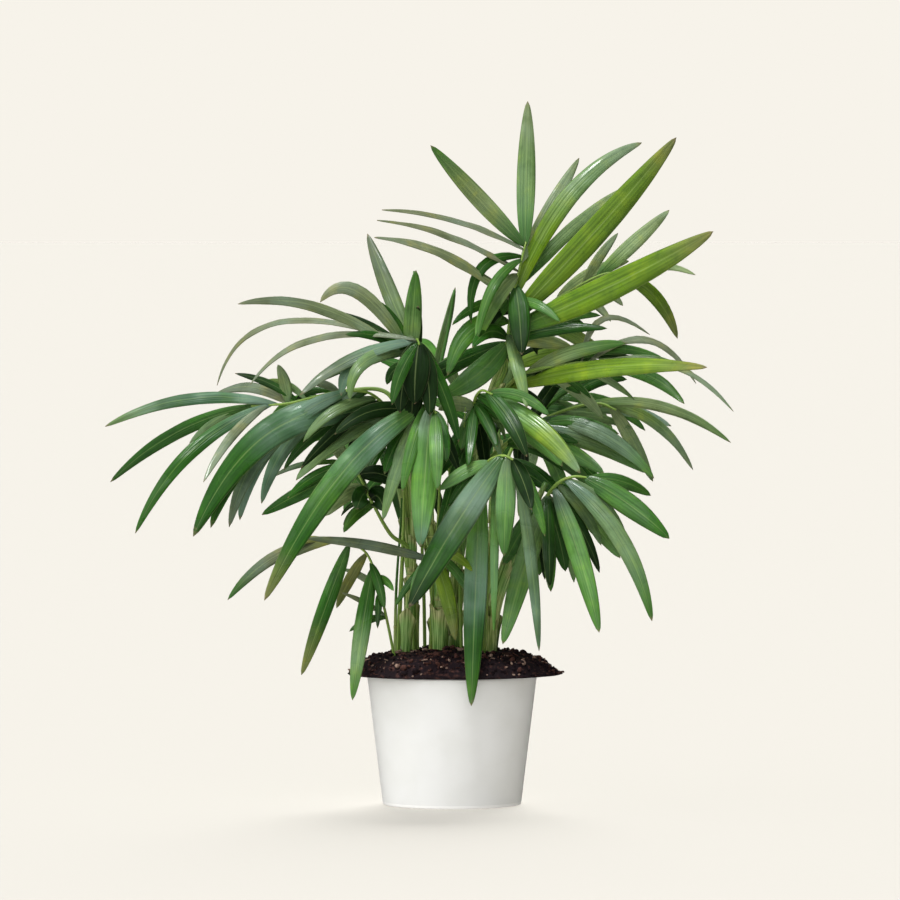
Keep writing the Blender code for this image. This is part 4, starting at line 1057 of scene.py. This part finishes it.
def build_pot(look, mat):
    """The pot: one turned outline, with a rounded rim and a crisp foot."""
    lip = POT_WALL / 2.0
    inside = POT_RIM_R - POT_WALL
    # Up the outside from the foot's middle, round the rim and down the inside to the floor
    outline = [(0.0, 0.0), (POT_FOOT_R - 1.4, 0.0)]
    outline += arc((POT_FOOT_R - 1.2, 1.2), 1.2, -90.0, -7.0, 5)
    outline += [(POT_FOOT_R + POT_SLOPE * z, z) for z in (4.0, 40.0, 80.0, 110.0)]
    outline += arc((POT_RIM_R - lip, POT_HEIGHT - 1.4), lip, -5.0, 185.0, 10)
    outline += [(inside - POT_SLOPE * (POT_HEIGHT - z), z) for z in (80.0, 40.0, POT_FLOOR + 5.0)]
    outline += [(POT_FOOT_R - POT_WALL - 4.0, POT_FLOOR), (0.0, POT_FLOOR)]
    bm = new_bmesh()
    verts = [bm.verts.new((r, 0.0, z)) for r, z in outline]
    edges = [bm.edges.new(pair) for pair in zip(verts, verts[1:])]
    turn = {"axis": UP, "cent": (0, 0, 0), "angle": math.tau, "steps": look.pot_steps}
    bmesh.ops.spin(bm, geom=verts + edges, use_merge=True, **turn)
    bmesh.ops.remove_doubles(bm, verts=bm.verts, dist=0.001)
    bmesh.ops.recalc_face_normals(bm, faces=bm.faces)
    piece = make_piece("Pot_Glazed", bm, [mat], "pot_glaze", "Pot")
    piece.data.set_sharp_from_angle(angle=math.radians(40))


class Heap:
    """The heap's form, read from the frame's own soil."""

    def __init__(self):
        bm = bmesh.new()
        bm.from_mesh(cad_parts["Soil"].data)
        bmesh.ops.scale(bm, vec=(1 / MM, 1 / MM, 1 / MM), verts=bm.verts)
        self.tree = BVHTree.FromBMesh(bm)
        bm.free()
        # The lip's reach in 180 directions
        self.lips = [self.find_lip(math.tau * i / 180) for i in range(180)]

    def height(self, x, y):
        """How high the heap stands over a point, or None past its lip or in a hole."""
        hit = self.tree.ray_cast(Vector((x, y, 300.0)), -UP)[0]
        return hit.z if hit and hit.z > POT_HEIGHT else None

    def find_lip(self, angle):
        """How far the heap reaches in one direction, to 0.5 mm."""
        reach = HEAP_LEAST
        while self.height(*polar(reach, angle)) and reach < HEAP_MOST:
            reach += 0.5
        return reach - 0.5

    def lip(self, angle):
        """The lip's reach between the measured directions."""
        at = (angle / math.tau) % 1.0 * len(self.lips)
        i = int(at)
        here = self.lips[i % len(self.lips)]
        return here + (self.lips[(i + 1) % len(self.lips)] - here) * (at - i)

    def top(self, x, y):
        """The height over any point inside the lip, with the holes bridged."""
        found = self.height(x, y)
        step = 0
        while found is None and step < 24:
            step += 1
            sides = [math.tau * quarter / 4.0 for quarter in range(4)]
            tries = [self.height(x + step * math.cos(a), y + step * math.sin(a)) for a in sides]
            tries = [t for t in tries if t]
            found = sum(tries) / len(tries) if tries else None
        return found if found is not None else POT_HEIGHT + GAP


def build_soil(look, mat):
    """The soil: the frame's heap with a crumbly surface, over a lip and a plain plug in the pot."""
    heap = Heap()
    top_rows = 70  # rings of corners from the heap's middle to its lip
    over = POT_HEIGHT + GAP
    inner = POT_RIM_R - POT_WALL - GAP
    # The rows under the heap: its lip's lower edge, the rim, and the plug's upper part
    under = [(None, over), (inner + 1.2, over), (inner - 0.2, over - 1.6)]
    under.append((inner - 40 * POT_SLOPE, over - 40.0))
    rows = top_rows + len(under)

    def place(u, v):
        angle = math.tau * u
        row = round(v * rows)
        lip = heap.lip(angle)
        if row > top_rows:
            reach, z = under[row - top_rows - 1]
            reach = lip - 1.4 if reach is None else reach
            return Vector((*polar(reach, angle), z))
        reach = max(0.02, lip * (row / top_rows) ** 0.8)
        x, y = polar(reach, angle)
        return Vector((x, y, heap.top(x, y) if reach < lip - 0.8 else over + 0.7))

    bm = new_bmesh("soil_tone")
    close_tube(bm, *sheet(bm, 240, rows, place))
    # The frame's flat facets are smoothed away, and the surface is then roughened
    upper = [v for v in bm.verts if v.co.z > over + 1.2]
    for _ in range(6):
        bmesh.ops.smooth_vert(bm, verts=upper, factor=0.5, use_axis_x=True, use_axis_y=True, use_axis_z=True)
    layer = bm.verts.layers.float_color["soil_tone"]
    for vert in bm.verts:
        vert[layer] = colour(look.soil_dark)
        if vert.co.z < over + 0.2:
            continue
        spot = Vector((vert.co.x, vert.co.y, 0.0))
        rough = noise.fractal(spot / 7.0, 0.7, 2.2, 4) + 0.6 * noise.noise(spot / 2.6)
        vert.co.z = max(over + 0.25, vert.co.z + 1.1 * rough - 0.4)
        vert.co += spot.normalized() * 0.8 * noise.noise(spot / 3.0 + Vector((0, 0, 9)))
    make_piece("Soil_Heap", bm, [mat], "potting_soil", "Soil")
    return heap


def lump(bm, place, size, rng, tone):
    """One crumb of soil: a small knobbly ball, squashed and turned."""
    shape = Matrix.Diagonal((rng.uniform(0.7, 1.3), rng.uniform(0.7, 1.2), rng.uniform(0.5, 0.9), 1.0))
    axis = Vector((rng.uniform(-1, 1), rng.uniform(-1, 1), rng.uniform(-1, 1) + 0.01)).normalized()
    turn = Quaternion(axis, rng.uniform(0, 6))
    matrix = Matrix.Translation(place) @ turn.to_matrix().to_4x4() @ shape
    fine = 2 if size > 2.0 else 1
    made = bmesh.ops.create_icosphere(bm, subdivisions=fine, radius=size, matrix=matrix, calc_uvs=True)
    layer = bm.verts.layers.float_color["soil_tone"]
    for vert in made["verts"]:
        vert.co += (vert.co - place) * 0.45 * noise.noise(vert.co / size * 1.3)
        vert[layer] = colour(tone)


def chip(bm, place, long, rng, tone):
    """One chip of bark: a thin splinter with bevelled edges."""
    shape = Matrix.Diagonal((long, long * rng.uniform(0.25, 0.5), long * rng.uniform(0.12, 0.2), 1.0))
    turn = Quaternion(UP, rng.uniform(0, math.tau)) @ Quaternion(Vector((1, 0, 0)), rng.uniform(-0.6, 0.6))
    turn = turn @ Quaternion(Vector((0, 1, 0)), rng.uniform(-0.4, 0.4))
    matrix = Matrix.Translation(place) @ turn.to_matrix().to_4x4() @ shape
    made = bmesh.ops.create_cube(bm, size=1.0, matrix=matrix, calc_uvs=True)
    edges = once(e for v in made["verts"] for e in v.link_edges)
    cut = {"offset": long * 0.05, "offset_type": "OFFSET", "affect": "EDGES"}
    bevelled = bmesh.ops.bevel(bm, geom=edges, segments=1, profile=0.5, material=-1, **cut)
    layer = bm.verts.layers.float_color["soil_tone"]
    for vert in once(v for f in bevelled["faces"] for v in f.verts):
        vert.co += Vector([rng.uniform(-1, 1) for _ in range(3)]) * long * 0.03
        vert[layer] = colour(tone)


def build_crumbs(look, mat, heap):
    """Loose crumbs and bark chips over the heap, thickest along its lip."""
    rng = random.Random(SEED + 1)
    stems = [(at_height(path, POT_HEIGHT + 14.0).to_2d(), low) for path, low, _ in CANE_LINES.values()]
    bm = new_bmesh("soil_tone")
    for i in range(look.crumb_count):
        angle = rng.uniform(0.0, math.tau)
        lip = heap.lip(angle)
        # One crumb in three lies near the lip, and one in seven is large
        share = rng.uniform(0.0, 1.0) ** (0.5 if i % 3 else 0.12)
        size = rng.uniform(0.7, 1.6) if i % 7 else rng.uniform(1.6, 3.4)
        reach = (lip - size) * share
        x, y = polar(reach, angle)
        if any((Vector((x, y)) - stem).length < low + size for stem, low in stems):
            continue
        place = Vector((x, y, heap.top(x, y) + 0.25 * size))
        pick = rng.random()
        if i % 9 == 4:
            chip(bm, place, rng.uniform(4.0, 9.0), rng, look.soil_fibre if pick < 0.7 else look.soil_pale)
        else:
            tone = look.soil_dark if pick < 0.62 else look.soil_fibre if pick < 0.88 else look.soil_pale
            lump(bm, place, size, rng, tone)
    make_piece("Soil_Crumbs", bm, [mat], "potting_soil")


class PalmPotSettings(bpy.types.PropertyGroup):
    """Looks of the pot."""

    glaze: FloatVectorProperty(
        name="Glaze", description="Colour of the glaze", default=srgb("#EBECEB"), **COLOUR
    )
    glaze_shade: FloatVectorProperty(
        name="Glaze Shade", description="Colour of thinner glaze", default=srgb("#E7E8E6"), **COLOUR
    )
    pot_steps: IntProperty(
        name="Sides", description="Steps that the pot's outline is turned in", default=160, min=24, max=256
    )


class PalmSoilSettings(bpy.types.PropertyGroup):
    """Looks of the soil."""

    soil_dark: FloatVectorProperty(
        name="Peat", description="Colour of the moist peat", default=srgb("#20151A"), **COLOUR
    )
    soil_fibre: FloatVectorProperty(
        name="Bark", description="Colour of bark and fibre", default=srgb("#553730"), **COLOUR
    )
    soil_pale: FloatVectorProperty(
        name="Dry Crumbs", description="Colour of the driest crumbs", default=srgb("#A08676"), **COLOUR
    )
    crumb_count: IntProperty(
        name="Crumbs", description="Loose crumbs and chips on the heap", default=900, min=0, max=3000
    )


class PalmPlantSettings(bpy.types.PropertyGroup):
    """Sizes and looks of the canes and fronds."""

    blade_thick: FloatProperty(
        name="Blade Thickness", description="Face to face", default=0.0005, min=0.0001, max=0.001, **LENGTH
    )
    vein_count: FloatProperty(
        name="Veins", description="Parallel veins across a blade", default=7.0, min=0.0, max=60.0
    )
    gloss_low: FloatProperty(
        name="Lowest Roughness", description="Roughness of the shiniest wax", default=0.2, **FACTOR
    )
    gloss_high: FloatProperty(
        name="Highest Roughness", description="Roughness of the dullest wax", default=0.56, **FACTOR
    )
    shine: FloatProperty(
        name="Wax Shine", description="How strongly the wax reflects", default=0.5, **FACTOR
    )
    ring_gap: FloatProperty(
        name="Ring Spacing", description="From one cane ring to the next", default=0.036, min=0.01, **LENGTH
    )
    cane_dark: FloatVectorProperty(
        name="Cane Lines", description="Darker lines of a cane", default=srgb("#62802F"), **COLOUR
    )
    cane_light: FloatVectorProperty(
        name="Cane Skin", description="Lighter skin of a cane", default=srgb("#BCD08C"), **COLOUR
    )


class PalmStudioSettings(bpy.types.PropertyGroup):
    """The paper, the lights and the camera."""

    paper: FloatVectorProperty(
        name="Background", description="Colour that the lit paper shows", default=srgb("#F7F3EA"), **COLOUR
    )
    camera_distance: FloatProperty(
        name="Camera Distance", description="From the camera to the plant", default=7.0, min=1.0, **LENGTH
    )
    camera_rise: FloatProperty(
        name="Camera Rise", description="How far it looks down", default=math.radians(2.0), subtype="ANGLE"
    )
    view_width: FloatProperty(
        name="View Width", description="Width of the view at the plant", default=0.8046, min=0.1, **LENGTH
    )
    sky: FloatProperty(
        name="Soft Light", description="Strength of the soft light all round", default=0.28, min=0.0
    )
    lean: FloatProperty(
        name="Lean", description="How much stronger the soft light is on the left", default=1.0, **FACTOR
    )
    key: FloatProperty(
        name="Key Light", description="Strength of the wide main light at the left", default=2.75, min=0.0
    )
    top: FloatProperty(
        name="Top Light", description="Strength of the light that glints on the wax", default=2.0, min=0.0
    )
    back: FloatProperty(
        name="Back Light", description="Strength of the low light from behind", default=2.4, min=0.0
    )
    paper_high: FloatProperty(
        name="Paper High Light", description="Strength of the even light on the paper", default=5.5, min=0.0
    )
    paper_low: FloatProperty(
        name="Paper Low Light", description="Strength of the light that casts a shadow", default=6.8, min=0.0
    )


class PALM_OT_pot(bpy.types.Operator):
    """Models the glazed pot over the frame's own"""

    bl_idname = "palm.pot"
    bl_label = "Pot"

    def execute(self, context):
        """Makes the pot."""
        look = context.scene.palm_pot
        build_pot(look, glaze_material(look))
        return {"FINISHED"}


class PALM_OT_soil(bpy.types.Operator):
    """Models the heaped soil with its crumbs and bark chips"""

    bl_idname = "palm.soil"
    bl_label = "Soil"

    def execute(self, context):
        """Makes the soil."""
        look = context.scene.palm_soil
        mat = soil_material(look)
        build_crumbs(look, mat, build_soil(look, mat))
        return {"FINISHED"}


class PALM_OT_canes(bpy.types.Operator):
    """Models the ringed canes, their old sheaths and the young shoots"""

    bl_idname = "palm.canes"
    bl_label = "Canes"

    def execute(self, context):
        """Makes the canes."""
        look = context.scene.palm_plant
        mats = [cane_material(look), sheath_material("Old_Sheath_Papery", 0.05)]
        for name in CANES:
            build_cane(name, look, mats)
        build_shoots(stalk_material("Shoot_Skin_Green"))
        return {"FINISHED"}


class PALM_OT_fronds(bpy.types.Operator):
    """Models the fronds: leaflets, ribs and sheaths"""

    bl_idname = "palm.fronds"
    bl_label = "Fronds"

    def execute(self, context):
        """Makes the fronds."""
        look = context.scene.palm_plant
        mats = [
            leaf_material(look, "Palm_Leaf_Waxy_Upper", False),
            leaf_material(look, "Palm_Leaf_Dull_Underside", True),
            stalk_material("Stalk_Fibrous_Green"),
            sheath_material("Sheath_Drying_Fibre", 0.0),
        ]
        rng = random.Random(SEED)
        for frond in [Frond(name, rng) for name in FRONDS]:
            build_frond(frond, look, mats)
        return {"FINISHED"}


class PALM_OT_stage(bpy.types.Operator):
    """Lays the paper, sets the lights and places the camera"""

    bl_idname = "palm.stage"
    bl_label = "Studio"

    def execute(self, context):
        """Makes the stage."""
        look = context.scene.palm_studio
        # Each light's strength, its turn from the viewer (right is positive), its height and its
        # softness in degrees. The paper has lights of its own, as a table lit for a catalogue has.
        add_sun("Key_Light", look.key, -38.0, 48.0, 95.0)
        add_sun("Top_Light", look.top, -20.0, 74.0, 14.0)
        add_sun("Back_Light", look.back, 178.0, 16.0, 26.0)
        high = add_sun("Paper_High_Light", look.paper_high, -30.0, 70.0, 20.0)
        low = add_sun("Paper_Low_Light", look.paper_low, 173.0, 23.0, 42.0)
        lit = look.sky + (high + low) / math.pi
        floor = add_floor(paper_material([c / lit for c in look.paper]))
        link_lights(floor)
        add_world(context.scene, look)
        add_camera(context.scene, look)
        context.scene.view_settings.view_transform = "Standard"
        return {"FINISHED"}


def add_sun(name, strength, turn, rise, soft):
    """A soft distant light. Returns how strongly it lights level ground."""
    light = bpy.data.lights.new(name, "SUN")
    light.energy = strength
    light.angle = math.radians(soft)
    lamp = add_object(name, light)
    a, e = math.radians(turn), math.radians(rise)
    source = Vector((math.sin(a) * math.cos(e), -math.cos(a) * math.cos(e), math.sin(e)))
    lamp.rotation_euler = source.to_track_quat("Z", "Y").to_euler()
    lamp.location = source * 3.0
    # Only the small light shines back from the wax. The wide ones would veil the dark leaves
    lamp.visible_glossy = soft < 20.0
    return strength * math.sin(e)


def add_floor(mat):
    """The paper, just under the pot's foot and too wide for its edge to show."""
    bm = bmesh.new()
    bmesh.ops.create_grid(bm, x_segments=1, y_segments=1, size=60.0)
    bmesh.ops.translate(bm, vec=(0.0, 0.0, -0.0002), verts=bm.verts)
    floor = add_mesh("Paper_Floor", bm, [mat])
    # The wax doesn't mirror the white paper, which would veil the dark leaves
    floor.visible_glossy = False
    return floor


def link_lights(floor):
    """Keeps the plant's lights off the paper and the paper's lights off the plant. The paper's
    high light casts no shadow, and the low one only that of the pot and the soil, which leaves
    one soft shadow before the pot."""
    paper, plant, shading = (bpy.data.collections.new(n) for n in ("Lit_Paper", "Lit_Plant", "Shading_Paper"))
    paper.objects.link(floor)
    plant.objects.link(floor)
    plant.collection_objects[0].light_linking.link_state = "EXCLUDE"
    for name in ("Pot_Glazed", "Soil_Heap"):
        shading.objects.link(bpy.data.objects[name])
    for lamp in [thing for thing in bpy.context.scene.objects if thing.type == "LIGHT"]:
        lamp.light_linking.receiver_collection = plant
        if lamp.name.startswith("Paper"):
            lamp.light_linking.receiver_collection = paper
            lamp.light_linking.blocker_collection = shading if lamp.name == "Paper_Low_Light" else paper


def add_world(scene, look):
    """Soft light from all round, stronger on the left, with the paper's colour where the camera
    looks past the floor."""
    world = bpy.data.worlds.new("Studio")
    scene.world = world
    world.use_nodes = True
    world.node_tree.nodes.clear()
    node = partial(add_node, world.node_tree)
    sky = node("ShaderNodeTexCoord").outputs["Generated"]
    way = node("ShaderNodeSeparateXYZ", {0: sky})
    lean = node(MATH, {0: way, 1: -look.lean * look.sky, 2: look.sky}, operation="MULTIPLY_ADD")
    ray = node("ShaderNodeLightPath")
    # The wax mirrors a darker room, which keeps the leaves painted in deep shade dark green
    mirrored = node(RANGE, {0: ray.outputs["Is Glossy Ray"], 3: 1.0, 4: 0.35})
    strength = node(MATH, {0: lean, 1: mirrored}, operation="MULTIPLY")
    even = node("ShaderNodeBackground", {"Color": (1.0, 1.0, 1.0, 1.0), "Strength": strength})
    seen = node("ShaderNodeBackground", {"Color": look.paper, "Strength": 1.0})
    mixed = node("ShaderNodeMixShader", {0: ray.outputs["Is Camera Ray"], 1: even, 2: seen})
    node("ShaderNodeOutputWorld", {"Surface": mixed})


def add_camera(scene, look):
    """The photograph's view: a long lens, nearly level, on the plant's front."""
    data = bpy.data.cameras.new("Camera")
    data.sensor_width = 36.0
    data.lens = data.sensor_width * look.camera_distance / look.view_width
    data.clip_end = 200.0
    camera = add_object("Camera", data)
    # The point of the plant that is in the middle of the photograph
    aim = Vector((-1.8, 0.0, 317.0)) * MM
    back = Vector((0.0, -math.cos(look.camera_rise), math.sin(look.camera_rise)))
    camera.location = aim + back * look.camera_distance
    camera.rotation_euler = back.to_track_quat("Z", "Y").to_euler()
    scene.camera = camera


class PALM_PT_panel(bpy.types.Panel):
    """Lists the plant's pieces, their settings and the studio"""

    bl_idname = "PALM_PT_panel"
    bl_label = "Potted Bamboo Palm"
    bl_space_type = "VIEW_3D"
    bl_region_type = "UI"
    bl_category = "Palm"

    def draw(self, context):
        """Draws each group's settings with its buttons."""
        for group, (_, *operators) in GROUPS.items():
            box = self.layout.box()
            settings = getattr(context.scene, group)
            for key in settings.__annotations__:
                box.prop(settings, key)
            for operator in operators:
                box.operator(operator.bl_idname)


# The scene's settings, each with the operators that use them
GROUPS = {
    "palm_pot": (PalmPotSettings, PALM_OT_pot),
    "palm_soil": (PalmSoilSettings, PALM_OT_soil),
    "palm_plant": (PalmPlantSettings, PALM_OT_canes, PALM_OT_fronds),
    "palm_studio": (PalmStudioSettings, PALM_OT_stage),
}
CLASSES = [cls for classes in GROUPS.values() for cls in classes] + [PALM_PT_panel]


def register():
    """Adds the classes and the scene's settings."""
    for cls in CLASSES:
        bpy.utils.register_class(cls)
    for group, (settings, *_) in GROUPS.items():
        setattr(bpy.types.Scene, group, PointerProperty(type=settings))


def unregister():
    """Takes them away again."""
    for group in GROUPS:
        delattr(bpy.types.Scene, group)
    for cls in reversed(CLASSES):
        bpy.utils.unregister_class(cls)


def main():
    """Builds every group in order."""
    register()
    bpy.ops.palm.pot()
    bpy.ops.palm.soil()
    bpy.ops.palm.canes()
    bpy.ops.palm.fronds()
    bpy.ops.palm.stage()


if __name__ == "__main__":
    main()
